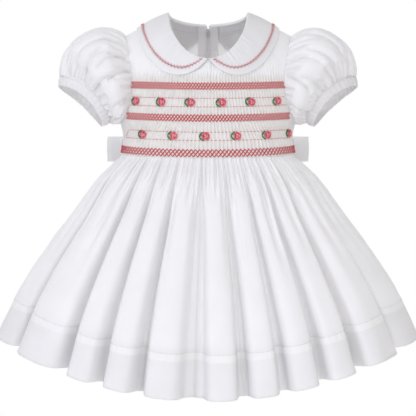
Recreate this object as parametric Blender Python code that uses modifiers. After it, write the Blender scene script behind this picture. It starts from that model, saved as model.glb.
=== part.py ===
"""Toddler's smocked party dress, filled out as worn, with nothing inside it.

Metres, +Z up. The front faces -Y and the wearer's left is +X. The origin lies between the shoulders, halfway
along the shoulder seams in height, where the wearer's shoulders hold the dress up.

Every panel is read from one body form: a shoulder line, the depth of the body under it, and the half width of
the bodice at each height. The skirt hangs from the same form's waist ring.
"""

import math

import bmesh
import bpy
import numpy as np
from mathutils import Matrix

MM = 0.001

# Driving dimensions, millimetres
COTTON = 1.2              # one wall of cotton with its turnings
RIBBON = 1.0              # sash and bow
SEAM = 0.3                # gap between pieces that are sewn together
SHOULDER_SEAM = 0.7       # each panel stops this far short of the shoulder line
SIDE_GAP = 0.35           # each panel stops this far short of the side seam
HEM_ROUND = 2.6           # how the hem drops from its sides to its front: a power of the cosine
NECK_HALF = 53.0          # half the width of the neck opening at the shoulders
NECK_TOP = 14.6           # height of the neck points above the origin
NECK_FRONT_DROP = 61.1    # centre front of the neckline under the neck points
NECK_BACK_DROP = 13.2     # centre back of the neckline under the neck points
NECK_FULLNESS = 1.15      # above 1 the front neckline is more pointed than an ellipse
SHOULDER_SLOPE = 0.51     # fall of the shoulder line for each millimetre outwards
SECTION_POWER = 2.3       # roundness of the level sections: 2 is an ellipse
SHOULDER_POWER = 0.75     # how fast the body deepens under the shoulder line
FRONT_REACH, FRONT_SPREAD = 85.0, 58.0
BACK_REACH, BACK_SPREAD = 80.0, 50.0
WAIST = -176.0
YOKE = -69.0              # the pleats of the smocking are let out above this height
UNDERARM = -125.7

PLEATS = 60
GATHERS = 30              # along each skirt panel's waist
SLEEVE_GATHERS = 16       # round each sleeve, at the armhole and at the cuff
PLEAT_CREST, PLEAT_VALLEY = 0.6, -1.0
BACK_SLIT, SLIDER_SLIT = 0.35, 1.4
ZIP_TOP = -7.0            # height of the closed zip's slider
ZIP_PART = (-23.0, -15.0)  # the backs part from closed to the slider's width between these heights
TAPE_EDGES = (2.1, 14.0)  # inner and outer edge of each zip tape
TAPE = 1.0
BINDING = 1.0
BINDING_DEPTH = (0.6, 12.0)
COLLAR = 1.6
CUFF = 1.6


class Table:
    """Rows of numbers under named columns, read by a smooth curve along the first column."""

    def __init__(self, names, rows):
        self.columns = dict(zip(names, np.array(rows, dtype=float).T))
        self.keys = self.columns[names[0]]

    def read(self, name, key):
        values = self.columns[name]
        slopes = np.gradient(values, self.keys)
        key = np.clip(key, self.keys[0], self.keys[-1])
        row = np.clip(np.searchsorted(self.keys, key) - 1, 0, len(self.keys) - 2)
        step = self.keys[row + 1] - self.keys[row]
        t = (key - self.keys[row]) / step
        start = values[row] * (1 + 2 * t) * (1 - t) ** 2 + slopes[row] * step * t * (1 - t) ** 2
        end = values[row + 1] * t * t * (3 - 2 * t) + slopes[row + 1] * step * t * t * (t - 1)
        return start + end


BODY = Table(("height", "half_width"), (
    (-176, 117.3),
    (-162, 114.9),
    (-148, 113.6),
    (-126, 117.4),
    (-105, 118.2),
    (-83, 122),
    (-60, 131),
    (-36, 146),
    (-14, 154),
    (16, 156),
))

ARMHOLE = Table(("height", "edge"), (
    (-125.7, 117.4),
    (-122.7, 113.3),
    (-114.8, 107.8),
    (-105, 104.6),
    (-94.5, 102),
    (-83, 100.4),
    (-71.5, 99.6),
    (-60, 100.8),
    (-47.4, 103),
    (-35.7, 104.9),
    (-22.9, 107.7),
    (-14.7, 110.4),
))

SIDE_SEAM = Table(("height", "edge"), (
    (-176, 116.6),
    (-163, 114.3),
    (-150, 112.4),
    (-139, 110.2),
    (-126, 107.0),
    (-113, 106.8),
))

# Each line of the smocked panel from the waist up: how far the pleats stand, how far the line as a whole is
# drawn in or puffs out, and which way neighbouring pleats are caught together.
SMOCKING = Table(("height", "stand", "puff", "catch"), (
    (-175.8, 0.7, 0.0, -1),
    (-169, 1.0, 0.5, 1),
    (-162, 1.0, 0.3, -1),
    (-145.6, 1.2, 0.0, 0),
    (-128, 1.0, 0.2, -1),
    (-122.5, 1.0, 0.5, 1),
    (-117, 1.0, 0.2, -1),
    (-102.6, 1.2, 0.0, 0),
    (-87, 1.0, 0.2, -1),
    (-81.6, 1.0, 0.5, 1),
    (-76.4, 1.0, 0.2, -1),
    (-69, 0.35, 0.0, 0),
))

# Rows of the plain top and of the backs, as shares of the cloth between a level row and the upper edge
FRONT_TOP_STEPS = (0.2, 0.4, 0.6, 0.78, 0.91, 0.98, 1.0)
BACK_TOP_STEPS = (0.18, 0.36, 0.53, 0.68, 0.81, 0.91, 0.985, 1.0)

# The backs' last level row dips round the underarm and comes forward to the side seam.
UNDERARM_DIP = Table(("place", "height", "past_side"), (
    (0, -108.0, 0),
    (1, -115.0, 0),
    (2, -121.0, 0),
    (3, UNDERARM, 0),
    (4, -122.5, 1),
    (5, -118.0, 1),
    (6, -113.2, 1),
))
SIDE_TURN = math.radians(66)     # where that dip starts on the waist ring

# The collar's outer edge: from the centre front over the shoulder line to the centre back.
COLLAR_FRONT = Table(("share", "across", "height"), (
    (0.00, 2.6, -49.4),
    (0.08, 11.5, -57.8),
    (0.16, 20.5, -63.0),
    (0.27, 34.0, -67.2),
    (0.37, 46.0, -66.4),
    (0.50, 60.5, -60.2),
    (0.63, 73.5, -49.0),
    (0.76, 83.5, -35.0),
    (0.88, 91.0, -19.0),
    (1.00, 94.0, -5.8),
))
COLLAR_BACK = Table(("share", "across", "height"), (
    (0.00, 94.0, -5.8),
    (0.15, 92.0, -17.0),
    (0.35, 82.0, -31.0),
    (0.55, 62.0, -38.5),
    (0.72, 40.0, -38.0),
    (0.86, 20.0, -27.0),
    (0.94, 10.0, -15.0),
    (1.00, 5.0, -3.0),
))

# How far the collar stands off the bodice between its neck edge (0) and its outer edge (1)
COLLAR_RISE = Table(("share", "rise"), (
    (0.0, 0.5),
    (0.15, 1.1),
    (0.45, 1.8),
    (0.8, 1.5),
    (1.0, 0.9),
))

# The zip's slider, from its place on the backs: blocks given by size and centre, in its own tilted frame
SLIDER_BLOCKS = (
    ((4.4, 1.0, 7.5), (0, 0.8, 0.3)),
    ((1.7, 6.4, 5.0), (0, -2.6, 1.2)),
    ((5.2, 2.2, 9.0), (0, -6.3, 0)),
    ((0.6, 2.4, 1.6), (-1.75, 2.3, 1.5)),
    ((0.6, 2.4, 1.6), (1.75, 2.3, 1.5)),
)
SLIDER_LONG = 8.0
BAR_OUT, BAR_UP, BAR_RADIUS, BAR_LONG = 2.75, 1.5, 0.5, 3.6
EYE_OUTER, EYE_INNER, EYE_LONG = 1.25, 0.85, 2.2
TAB_EDGE = ((0.9, -1.0), (0.9, -2.4), (1.9, -4.5), (2.5, -10.0), (2.1, -12.6), (1.2, -13.8))
TAB_END, TAB_THICK = -14.2, 0.8

# The skirt from the waist seam (0) to the hem (1): rings of half widths and drops at the sides, front and
# back, the depth of the large folds and the depth of the waist gathers.
SKIRT = Table(("share", "side", "side_drop", "front", "back", "front_drop", "fold", "gather"), (
    (0.00, 117.4, 0.0, 79.6, 76.4, 0.0, 0.0, 0.8),
    (0.03, 123.5, 4.0, 84.0, 80.5, 8.0, 0.4, 2.2),
    (0.07, 131.0, 11.0, 90.0, 86.0, 19.0, 1.0, 2.8),
    (0.16, 148.5, 31.0, 100.0, 96.0, 46.0, 2.6, 2.8),
    (0.28, 166.0, 58.0, 111.0, 107.0, 80.0, 5.0, 2.2),
    (0.50, 202.0, 112.0, 132.0, 128.0, 143.0, 9.5, 0.8),
    (0.75, 238.0, 173.0, 155.0, 151.0, 214.0, 14.5, 0.0),
    (1.00, 265.0, 234.0, 174.0, 170.0, 286.0, 18.0, 0.0),
))
SKIRT_GAP = 0.06          # degrees short of the side seam, about the seam gap at the waist
SKIRT_RINGS = (0.0, 0.03, 0.08, 0.16, 0.28, 0.44, 0.62, 0.81, 1.0)

# The crests of the skirt's large folds: degrees round from the centre front towards the wearer's left, and
# how deep each one is.
FOLDS = Table(("angle", "depth"), (
    (-195, 0.9),
    (-180, 1.0),
    (-163, 0.9),
    (-147, 1.0),
    (-131, 0.95),
    (-111, 1.0),
    (-90, 1.0),
    (-66, 1.0),
    (-41, 1.0),
    (-27, 0.9),
    (-13, 1.0),
    (4, 1.1),
    (16.5, 0.9),
    (29, 1.0),
    (43, 0.9),
    (64, 1.0),
    (90, 1.0),
    (112, 1.0),
    (133, 0.9),
    (149, 1.0),
    (165, 0.95),
    (180, 1.0),
    (197, 0.9),
))
FOLD_DIP = 3.0            # the hem hangs lower at a fold's crest than between folds

# The puff sleeve: its cuff's two rings (half length along the slanting opening, half width across it).
CUFF_LONG = (0.738, 0.0, -0.675)
CUFF_TILT = math.radians(13)
CUFF_OPENING = {"centre": (168.6, 0.0, -105.2), "long": 39.7, "wide": 36.0}
CUFF_SEAM = {"centre": (161.8, 0.0, -95.9), "long": 44.7, "wide": 41.0}
CUFF_SADDLE = 3.5         # the cuff's front and back stand higher than its two ends

# The puff between armhole and cuff: how far the cloth runs on straight at each end (at the underarm, and more
# at the top), and how far it swells there in front and behind, and at the top.
PUFF_MIDDLE = (104.0, 0.0, -70.0)
PUFF_ARMHOLE = {"run": 3.4, "top_run": 29.5, "swell": 2.0, "sides": 22.0, "top": 27.0}
PUFF_CUFF = {"run": 2.0, "top_run": 27.0, "swell": 1.0, "sides": 16.0, "top": 26.0}
SLEEVE_RIPPLE = 1.5

# The bow's loop: distance out from the knot, its depth and its width of ribbon there.
LOOP = Table(("out", "half_depth", "half_width", "height"), (
    (9.5, 2.2, 10.0, -165.5),
    (30, 5.0, 13.0, -166.5),
    (70, 9.0, 16.0, -167.4),
    (110, 9.5, 17.0, -168.8),
    (131, 8.0, 17.0, -168.9),
))
LOOP_END, LOOP_TURN = 142.0, 131.0
KNOT_DEPTH, KNOT_HALF, KNOT_HEIGHT = 7.0, 14.5, -165.5
KNOT = Table(("across", "swell"), (
    (-10, 0.94),
    (-5, 1.0),
    (0, 0.97),
    (5, 1.0),
    (10, 0.94),
))
KNOT_WALL = 1.2
BOW_BACK = 83.95          # how far behind the origin the bow lies, just clear of the sash

# Each tail from the knot down: share of the skirt's length, how far out its middle lies, its half width, and
# how far it lies off the skirt's ring there.
TAIL = Table(("share", "middle", "half_width", "lift"), (
    (0.0151, 10.0, 8.1, 6.50),
    (0.045, 11.8, 10.4, 5.40),
    (0.09, 14.6, 12.8, 4.50),
    (0.16, 18.9, 14.8, 3.85),
    (0.26, 25.1, 15.9, 3.20),
    (0.38, 32.6, 16.4, 2.40),
    (0.5, 40.0, 16.5, 1.90),
    (0.63, 48.1, 16.5, 1.45),
    (0.74, 54.9, 16.5, 1.25),
))
TAIL_SLANT = 0.035        # the cut end slants by this share of the skirt's length
TAIL_REST = {"left": 0.0, "right": -1.4}    # the crests under the right tail stand less far out
SASH_RISE = (1.5, 31.5)   # the sash's edges above the waist


# ---------------------------------------------------------------- the body form

def shoulder_line(x):
    return NECK_TOP - SHOULDER_SLOPE * (np.abs(x) - NECK_HALF)


def depth_under(drop, side):
    """How far the body reaches forwards (side -1) or back (side 1) at a drop under the shoulder line."""
    reach, spread = (FRONT_REACH, FRONT_SPREAD) if side < 0 else (BACK_REACH, BACK_SPREAD)
    return reach * (1 - np.exp(-(np.maximum(drop, 0) / spread) ** SHOULDER_POWER))


def section(share):
    """The level section's depth, from 1 in the middle to 0 at the side."""
    return (1 - np.minimum(np.abs(share), 1) ** SECTION_POWER) ** (1 / SECTION_POWER)


def body(x, z, side):
    """Points of the body form at a place across and a height."""
    x, z = np.broadcast_arrays(np.asarray(x, float), np.asarray(z, float))
    depth = depth_under(shoulder_line(x) - z, side) * section(x / BODY.read("half_width", z))
    return np.stack([x, side * depth, z], axis=-1)


DROPS = 260 * np.linspace(0, 1, 4001) ** 3
ARCS = {side: np.concatenate([[0], np.cumsum(np.hypot(np.diff(DROPS), np.diff(depth_under(DROPS, side))))])
        for side in (-1, 1)}


def arc_at(x, z, side):
    """Length of cloth from the shoulder line down to a height."""
    return np.interp(shoulder_line(x) - z, DROPS, ARCS[side])


def over_shoulder(x, arc, side):
    """Points of the body form at a length of cloth from the shoulder line."""
    drop = np.interp(arc, ARCS[side], DROPS)
    return body(x, shoulder_line(x) - drop, side)


def evenly(points, count):
    """The same curve with count points evenly spaced along it."""
    length = np.concatenate([[0], np.cumsum(np.linalg.norm(np.diff(points, axis=0), axis=1))])
    places = np.linspace(0, length[-1], count)
    return np.stack([np.interp(places, length, points[:, k]) for k in range(points.shape[1])], axis=-1)


def normals_of(grid, closed=False):
    """Unit normals of a grid whose columns run anticlockwise from above and whose rows run upwards."""
    if closed:
        across = np.roll(grid, -1, axis=1) - np.roll(grid, 1, axis=1)
    else:
        across = np.gradient(grid, axis=1)
    up = np.gradient(grid, axis=0)
    normal = np.cross(across, up)
    return normal / np.maximum(np.linalg.norm(normal, axis=-1, keepdims=True), 1e-9)


def moved_out(grid, amount, closed=False):
    amount = np.asarray(amount, float)
    if amount.ndim == 2:
        amount = amount[..., None]
    return grid + normals_of(grid, closed) * amount


def mirrored(grid):
    """The grid on the wearer's other side, with its faces still pointing out."""
    return (grid * (-1, 1, 1))[:, ::-1]


def side_grid(grid, side):
    return grid if side > 0 else mirrored(grid)


# ---------------------------------------------------------------- making objects

def material(name, colour, roughness, metallic=0.0):
    made = bpy.data.materials.new(name)
    made.use_nodes = True
    shader = made.node_tree.nodes["Principled BSDF"]
    shader.inputs["Base Color"].default_value = (*colour, 1)
    shader.inputs["Roughness"].default_value = roughness
    shader.inputs["Metallic"].default_value = metallic
    return made


def new_object(name, mesh, finish, root):
    made = bpy.data.objects.new(name, mesh)
    mesh.materials.append(finish)
    root.users_collection[0].objects.link(made)
    made.parent = root
    return made


def quads(rows, columns, closed):
    last = columns if closed else columns - 1
    for row in range(rows - 1):
        for column in range(last):
            right = (column + 1) % columns
            yield row, column, (row * columns + column, row * columns + right,
                                (row + 1) * columns + right, (row + 1) * columns + column)


def panel(name, grid, finish, root, thickness=COTTON, closed=False, leave_out=None):
    """A cloth panel: an open surface whose wall is grown inwards by Solidify."""
    rows, columns = grid.shape[:2]
    faces = [face for row, column, face in quads(rows, columns, closed)
             if leave_out is None or not leave_out(row, column)]
    mesh = bpy.data.meshes.new(name)
    mesh.from_pydata([tuple(point * MM) for point in grid.reshape(-1, 3)], [], faces)
    shape = bmesh.new()
    shape.from_mesh(mesh)
    bmesh.ops.delete(shape, geom=[v for v in shape.verts if not v.link_faces], context="VERTS")
    shape.to_mesh(mesh)
    shape.free()
    mesh.shade_smooth()
    made = new_object(name, mesh, finish, root)
    wall = made.modifiers.new("wall", "SOLIDIFY")
    wall.thickness = thickness * MM
    wall.offset = -1
    return made


def lacing(first, second, positions):
    """Triangles between two rows of points with unlike counts, nearest along their lengths."""
    def shares(row):
        points = np.array([positions[i] for i in row])
        length = np.concatenate([[0], np.cumsum(np.linalg.norm(np.diff(points, axis=0), axis=1))])
        return length / length[-1]

    a, b = shares(first), shares(second)
    i = j = 0
    while i < len(first) - 1 or j < len(second) - 1:
        if j == len(second) - 1 or (i < len(first) - 1 and a[i + 1] <= b[j + 1]):
            yield first[i], first[i + 1], second[j]
            i += 1
        else:
            yield first[i], second[j + 1], second[j]
            j += 1


# ---------------------------------------------------------------- neckline, shoulders and armholes

def neckline(turn, side):
    """Neckline points: turn is 0 at the centre front or back and a quarter turn at the neck point."""
    x = NECK_HALF * np.sin(turn)
    if side < 0:
        return x, NECK_TOP - NECK_FRONT_DROP * np.maximum(np.cos(turn), 0) ** NECK_FULLNESS
    return x, NECK_TOP - NECK_BACK_DROP * np.maximum(np.cos(turn), 0)


def panel_top(side, inner_edge):
    """From the centre along the neckline and out along the shoulder: across and length of cloth."""
    first_turn = math.asin(inner_edge / NECK_HALF)
    turns = np.linspace(first_turn, math.pi / 2, 200)
    x, z = neckline(turns, side)
    neck = np.stack([x, arc_at(x, z, side)], axis=-1)
    tip = ARMHOLE.columns["edge"][-1]
    across = np.linspace(NECK_HALF, tip, 50)
    shoulder = np.stack([across, np.full(50, SHOULDER_SEAM)], axis=-1)
    neck[:, 1] = np.maximum(neck[:, 1], SHOULDER_SEAM)
    return neck, shoulder


def edge_across(z):
    """Where the front panel ends: the side seam, and above it the armhole."""
    seam_top = SIDE_SEAM.keys[-1]
    return np.where(z < seam_top, SIDE_SEAM.read("edge", z), ARMHOLE.read("edge", z))


def armhole_ring(side_count):
    """The armhole from the shoulder tip down the front, and up the back to the tip again."""
    z = UNDERARM + (ARMHOLE.keys[-1] - UNDERARM) * (1 - np.linspace(0, 1, 400) ** 2)
    x = ARMHOLE.read("edge", z)
    front, back = (evenly(body(x, z, side), side_count + 1) for side in (-1, 1))
    return np.concatenate([front, back[-2:0:-1]])


# ---------------------------------------------------------------- bodice

def upper_rows(start, top, side, steps):
    """Rows between a level row and the panel's top edge, in length of cloth over the shoulder."""
    x, z = start[:, 0], start[:, 2]
    low = np.stack([x, arc_at(x, z, side)], axis=-1)
    rows = []
    for step in steps:
        row = low + (top - low) * step
        height = shoulder_line(row[:, 0]) - np.interp(row[:, 1], ARCS[side], DROPS)
        excess = ARMHOLE.read("edge", height[-1]) - np.abs(row[-1, 0])
        row[:, 0] += np.sign(row[:, 0]) * excess * np.abs(row[:, 0] / row[-1, 0]) ** 4
        rows.append(over_shoulder(row[:, 0], row[:, 1], side))
    return rows


def front_row(height, count):
    edge = float(edge_across(height)) - SIDE_GAP
    width = float(BODY.read("half_width", height))
    angles = np.linspace(-1, 1, 801) * math.asin(min(edge / width, 1))
    return evenly(body(width * np.sin(angles), height, -1), count)


def smocked_rows():
    """The outside of the smocked panel: one row of pleats for each line of its table."""
    fine = 2 * PLEATS + 1
    rows = np.array([front_row(z, fine) for z in SMOCKING.keys])
    column = np.arange(fine)
    crest = column % 2 == 1
    edge_fade = np.minimum(np.minimum(column, column[::-1]) / 3, 1)
    stand = np.where(crest, PLEAT_CREST, PLEAT_VALLEY) * SMOCKING.columns["stand"][:, None]
    lift = (SMOCKING.columns["puff"][:, None] + stand) * edge_fade
    neighbour = np.where(crest, np.where(column // 2 % 2, 0.5, -0.5), 0)
    caught = neighbour * SMOCKING.columns["catch"][:, None] * edge_fade
    return moved_out(rows, lift) + np.gradient(rows, axis=1) * caught[..., None]


def front_top_edge(columns):
    """The plain top's upper edge from shoulder tip to shoulder tip: across and length of cloth."""
    neck, shoulder = panel_top(-1, 0.0)
    half = (columns - 1) // 2
    neck_count = round(half * 0.7)
    outer = evenly(shoulder, half - neck_count + 1)[1:]
    half_top = np.concatenate([evenly(neck, neck_count + 1), outer])
    return np.concatenate([(half_top * (-1, 1))[:0:-1], half_top])


def front_bodice(cotton, root):
    """Smocked panel with the plain top above it: pleats on the outside of a wall that is plain inside."""
    columns = 27
    start = front_row(YOKE, columns)
    top = np.array(upper_rows(start, front_top_edge(columns), -1, FRONT_TOP_STEPS))
    pleated = smocked_rows()

    low = np.array([front_row(z, columns) for z in SMOCKING.keys[::2]])
    plain = np.concatenate([low, start[None], top])
    depth = np.full(plain.shape[:2], -COTTON)
    depth[:len(low) + 1] += PLEAT_VALLEY
    inner = moved_out(plain, depth)

    grids = (pleated, top, inner)
    points = np.concatenate([grid.reshape(-1, 3) for grid in grids])
    firsts = np.cumsum([0] + [grid.size // 3 for grid in grids])
    outside, upper, inside = (first + np.arange(grid.size // 3).reshape(grid.shape[:2])
                              for first, grid in zip(firsts, grids))
    faces = []
    for index, turn in ((outside, 1), (upper, 1), (inside, -1)):
        rows, across = index.shape
        faces += [tuple(index.flat[i] for i in face[::turn]) for _, _, face in quads(rows, across, False)]
    left = np.concatenate([outside[:, 0], upper[:, 0]])
    right = np.concatenate([outside[:, -1], upper[:, -1]])
    for first, second in ((upper[0], outside[-1]), (outside[0], inside[0]), (inside[-1], upper[-1]),
                          (inside[:, 0], left), (right, inside[:, -1])):
        faces += list(lacing(first, second, points))

    mesh = bpy.data.meshes.new("front_bodice")
    mesh.from_pydata([tuple(point * MM) for point in points], [], [tuple(map(int, face)) for face in faces])
    shape = bmesh.new()
    shape.from_mesh(mesh)
    bmesh.ops.recalc_face_normals(shape, faces=shape.faces)
    shape.to_mesh(mesh)
    shape.free()
    new_object("front_bodice", mesh, cotton, root)


def slit_edge(z):
    """Half the gap between the backs: closed along the zip, parted where the slider passes through."""
    low, high = ZIP_PART
    parted = np.clip((z - low) / (high - low), 0, 1)
    return BACK_SLIT + (SLIDER_SLIT - BACK_SLIT) * parted


def back_outer():
    """The wearer's left back: columns from the side seam to the centre back, rows from the waist up."""
    pit = UNDERARM_DIP.columns["height"]
    past_side = UNDERARM_DIP.columns["past_side"]
    wide = BODY.read("half_width", pit)
    turn = np.arcsin(np.minimum(ARMHOLE.read("edge", pit) / wide, 1))
    pit_turn = np.where(past_side == 1, math.pi - turn, turn)
    main = 9
    slit_turn = math.asin(BACK_SLIT / wide[0])
    level_turn = np.concatenate([np.linspace(slit_turn, pit_turn[0], main + 1), pit_turn[1:]])
    level_z = np.concatenate([np.full(main + 1, pit[0]), pit[1:]])
    waist_edge = math.asin((SIDE_SEAM.columns["edge"][0] + SIDE_GAP) / BODY.columns["half_width"][0])
    waist_turn = np.concatenate([
        np.linspace(BACK_SLIT / BODY.columns["half_width"][0], SIDE_TURN, main + 1),
        np.linspace(SIDE_TURN, math.pi - waist_edge, len(pit))[1:]])
    rows = []
    for step in np.linspace(0, 1, 6):
        z = (WAIST + SEAM / 2) * (1 - step) + level_z * step
        turn = waist_turn * (1 - step) + level_turn * step
        width = BODY.read("half_width", z)
        x = width * np.sin(turn)
        seam_x = float(SIDE_SEAM.read("edge", min(z[-1], SIDE_SEAM.keys[-1]))) + SIDE_GAP
        x[-1] = min(seam_x, width[-1] - 0.01)
        behind = body(x, z, 1)
        before = body(x, z, -1)
        rows.append(np.where((turn > math.pi / 2)[:, None], before, behind))
    lower = np.array(rows)

    neck, shoulder = panel_top(1, SLIDER_SLIT)
    neck_count = 5
    top = np.concatenate([evenly(neck, neck_count + 1), evenly(shoulder, main - neck_count + 1)[1:]])
    start = lower[-1, :main + 1]
    upper = np.array(upper_rows(start, top, 1, BACK_TOP_STEPS))
    for row in upper:
        row[0] = body(slit_edge(row[0, 2]), row[0, 2], 1)
    unused = np.repeat(upper[:, -1:], len(pit) - 1, axis=1)
    grid = np.concatenate([lower, np.concatenate([upper, unused], axis=1)])
    return grid[:, ::-1], len(lower), len(pit) - 1


def back_bodices(cotton, root):
    grid, lower_rows, pit_columns = back_outer()
    columns = grid.shape[1]
    panel("back_bodice_left", grid, cotton, root,
          leave_out=lambda row, column: row >= lower_rows - 1 and column < pit_columns)
    panel("back_bodice_right", mirrored(grid), cotton, root,
          leave_out=lambda row, column: row >= lower_rows - 1 and column >= columns - 1 - pit_columns)


# ---------------------------------------------------------------- neck: binding, zip and collar

def strip_round_neck(start_depth, end_depth, front_edge, back_edge, columns, rows):
    """A strip of cloth below the neckline on the wearer's left, centre back to centre front."""
    places = []
    for side, edge, count in ((1, back_edge, columns // 3), (-1, front_edge, columns - columns // 3)):
        turns = np.linspace(math.asin(edge / NECK_HALF), math.pi / 2, 60)
        x, z = neckline(turns, side)
        arc = arc_at(x, z, side)
        run = evenly(np.stack([x, arc * side, turns], axis=-1), count + 1)
        places.append(run if side > 0 else run[::-1][1:])
    run = np.concatenate(places)
    grid = []
    for depth in np.linspace(end_depth, start_depth, rows):
        turn = run[:, 2]
        side = np.where(run[:, 1] >= 0, 1, -1)
        x = run[:, 0] + depth * np.sin(turn)
        arc = run[:, 1] + side * depth * np.cos(turn)
        behind = over_shoulder(x, np.maximum(arc, 0), 1)
        before = over_shoulder(x, np.maximum(-arc, 0), -1)
        grid.append(np.where((arc >= 0)[:, None], behind, before))
    return np.array(grid)[:, ::-1]


def neck_binding(cotton, root):
    near, far = BINDING_DEPTH
    half = strip_round_neck(near, far, 0.001, TAPE_EDGES[1] + 2 * SEAM, 18, 3)
    whole = np.concatenate([mirrored(half)[:, :-1], half], axis=1)
    panel("neck_binding", moved_out(whole, -(2 * COTTON + SEAM)), cotton, root, thickness=BINDING)


def zip_tapes(tape, root):
    """Two strips inside the backs, from the neckline to the waist."""
    neck_z = NECK_TOP - NECK_BACK_DROP
    heights = np.concatenate([[neck_z - 0.4, -7, -16, -26], np.linspace(-40, WAIST + 2, 6)])[::-1]
    across = np.linspace(*TAPE_EDGES, 3)
    grid = np.array([body(across, z, 1) for z in heights])[:, ::-1]
    inside = moved_out(grid, -(COTTON + 2 * SEAM))
    panel("zip_tape_left", inside, tape, root, thickness=TAPE)
    panel("zip_tape_right", mirrored(inside), tape, root, thickness=TAPE)


def collars(cotton, root):
    """Each half lies over the bodice: its neck edge at the neckline, its middle a little raised."""
    front_count, back_count = 14, 8
    runs = []
    for side, table, inner in ((-1, COLLAR_FRONT, 0.5), (1, COLLAR_BACK, 3.5)):
        turns = np.linspace(math.asin(inner / NECK_HALF), math.pi / 2, 80)
        neck_x, neck_z = neckline(turns, side)
        neck = np.stack([neck_x, arc_at(neck_x, neck_z, side)], axis=-1)
        samples = np.linspace(0, 1, 80)
        edge_x = table.read("across", samples)
        edge_z = table.read("height", samples)
        edge = np.stack([edge_x, arc_at(edge_x, edge_z, side)], axis=-1)
        if side < 0:
            neck, edge = evenly(neck, front_count), evenly(edge, front_count)
        else:
            neck, edge = evenly(neck[::-1], back_count), evenly(edge, back_count)
        runs.append((side, neck, edge))
    rows = []
    for share in COLLAR_RISE.columns["share"][::-1]:
        pieces = []
        for side, neck, edge in runs:
            flat = neck + (edge - neck) * share
            flat[:, 1] = np.maximum(flat[:, 1], 0)
            points = over_shoulder(flat[:, 0], flat[:, 1], side)
            pieces.append(points if side < 0 else points[1:])
        rows.append(np.concatenate(pieces))
    grid = np.array(rows)
    lift = COLLAR + SEAM + COLLAR_RISE.columns["rise"][::-1]
    half = moved_out(grid, np.repeat(lift[:, None], grid.shape[1], axis=1))
    half[..., 0] = np.maximum(half[..., 0], SEAM)
    panel("collar_left", half, cotton, root, thickness=COLLAR)
    panel("collar_right", mirrored(half), cotton, root, thickness=COLLAR)


ALONG_X = Matrix.Rotation(math.pi / 2, 3, "Y")


def block(shape, size, centre):
    made = bmesh.ops.create_cube(shape, size=1)
    bmesh.ops.scale(shape, vec=size, verts=made["verts"])
    bmesh.ops.translate(shape, vec=centre, verts=made["verts"])


def rod_along_x(shape, radius, length, centre, segments=16):
    made = bmesh.ops.create_cone(shape, cap_ends=True, segments=segments, radius1=radius, radius2=radius,
                                 depth=length)
    bmesh.ops.rotate(shape, verts=made["verts"], cent=(0, 0, 0), matrix=ALONG_X)
    bmesh.ops.translate(shape, vec=centre, verts=made["verts"])


def carved(name, steps, finish, root, place, tilt):
    """One closed body from blocks and rods that are joined or cut away in turn by Booleans."""
    made = None
    for operation, builder in steps:
        shape = bmesh.new()
        builder(shape)
        mesh = bpy.data.meshes.new(name)
        shape.to_mesh(mesh)
        shape.free()
        if made is None:
            made = new_object(name, mesh, finish, root)
            made.location = [value * MM for value in place]
            made.rotation_euler = (tilt, 0, 0)
            continue
        other = new_object(name + "_tool", mesh, finish, root)
        other.location = made.location
        other.rotation_euler = made.rotation_euler
        bpy.context.view_layer.update()
        join = made.modifiers.new("join", "BOOLEAN")
        join.operation = operation
        join.object = other
        solid = bpy.data.meshes.new_from_object(made.evaluated_get(bpy.context.evaluated_depsgraph_get()))
        made.modifiers.remove(join)
        made.data = solid
        bpy.data.objects.remove(other)
    return made


def scaled(values):
    return tuple(value * MM for value in values)


def zip_slider(metal, root):
    """The slider: its body inside on the tapes, a neck through the slit, and a bridge outside."""
    place = body(0, ZIP_TOP, 1)
    below = body(0, ZIP_TOP - SLIDER_LONG, 1)
    tilt = math.atan2(float(below[1] - place[1]), SLIDER_LONG)
    steps = [("UNION", lambda shape, size=size, centre=centre: block(shape, scaled(size), scaled(centre)))
             for size, centre in SLIDER_BLOCKS]
    bar = scaled((0, BAR_OUT, BAR_UP))
    steps.append(("UNION", lambda shape: rod_along_x(shape, BAR_RADIUS * MM, BAR_LONG * MM, bar)))
    carved("zip_slider", steps, metal, root, place, tilt)
    return place, tilt


def zip_pull_tab(metal, root, place, tilt):
    """The pull tab: an eye round the slider's bar and a tapered plate, hanging down."""
    spin = np.array([[math.cos(tilt), -math.sin(tilt)], [math.sin(tilt), math.cos(tilt)]])
    out, up = spin @ (BAR_OUT, BAR_UP)
    pivot = (0.0, float(place[1] + out), float(place[2] + up))
    left = [(-x, z) for x, z in TAB_EDGE]
    outline = left + [(0.0, TAB_END)] + list(TAB_EDGE[::-1])

    def plate(shape):
        verts = [shape.verts.new(scaled((x, -TAB_THICK / 2, z))) for x, z in outline]
        face = shape.faces.new(verts)
        grown = bmesh.ops.extrude_face_region(shape, geom=[face])
        bmesh.ops.translate(shape, vec=(0, TAB_THICK * MM, 0),
                            verts=[v for v in grown["geom"] if isinstance(v, bmesh.types.BMVert)])
        bmesh.ops.recalc_face_normals(shape, faces=shape.faces)

    carved("zip_pull_tab", (
        ("UNION", lambda shape: rod_along_x(shape, EYE_OUTER * MM, EYE_LONG * MM, (0, 0, 0))),
        ("UNION", plate),
        ("DIFFERENCE", lambda shape: rod_along_x(shape, EYE_INNER * MM, 2 * EYE_LONG * MM, (0, 0, 0))),
    ), metal, root, pivot, tilt)


# ---------------------------------------------------------------- sleeves

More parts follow.
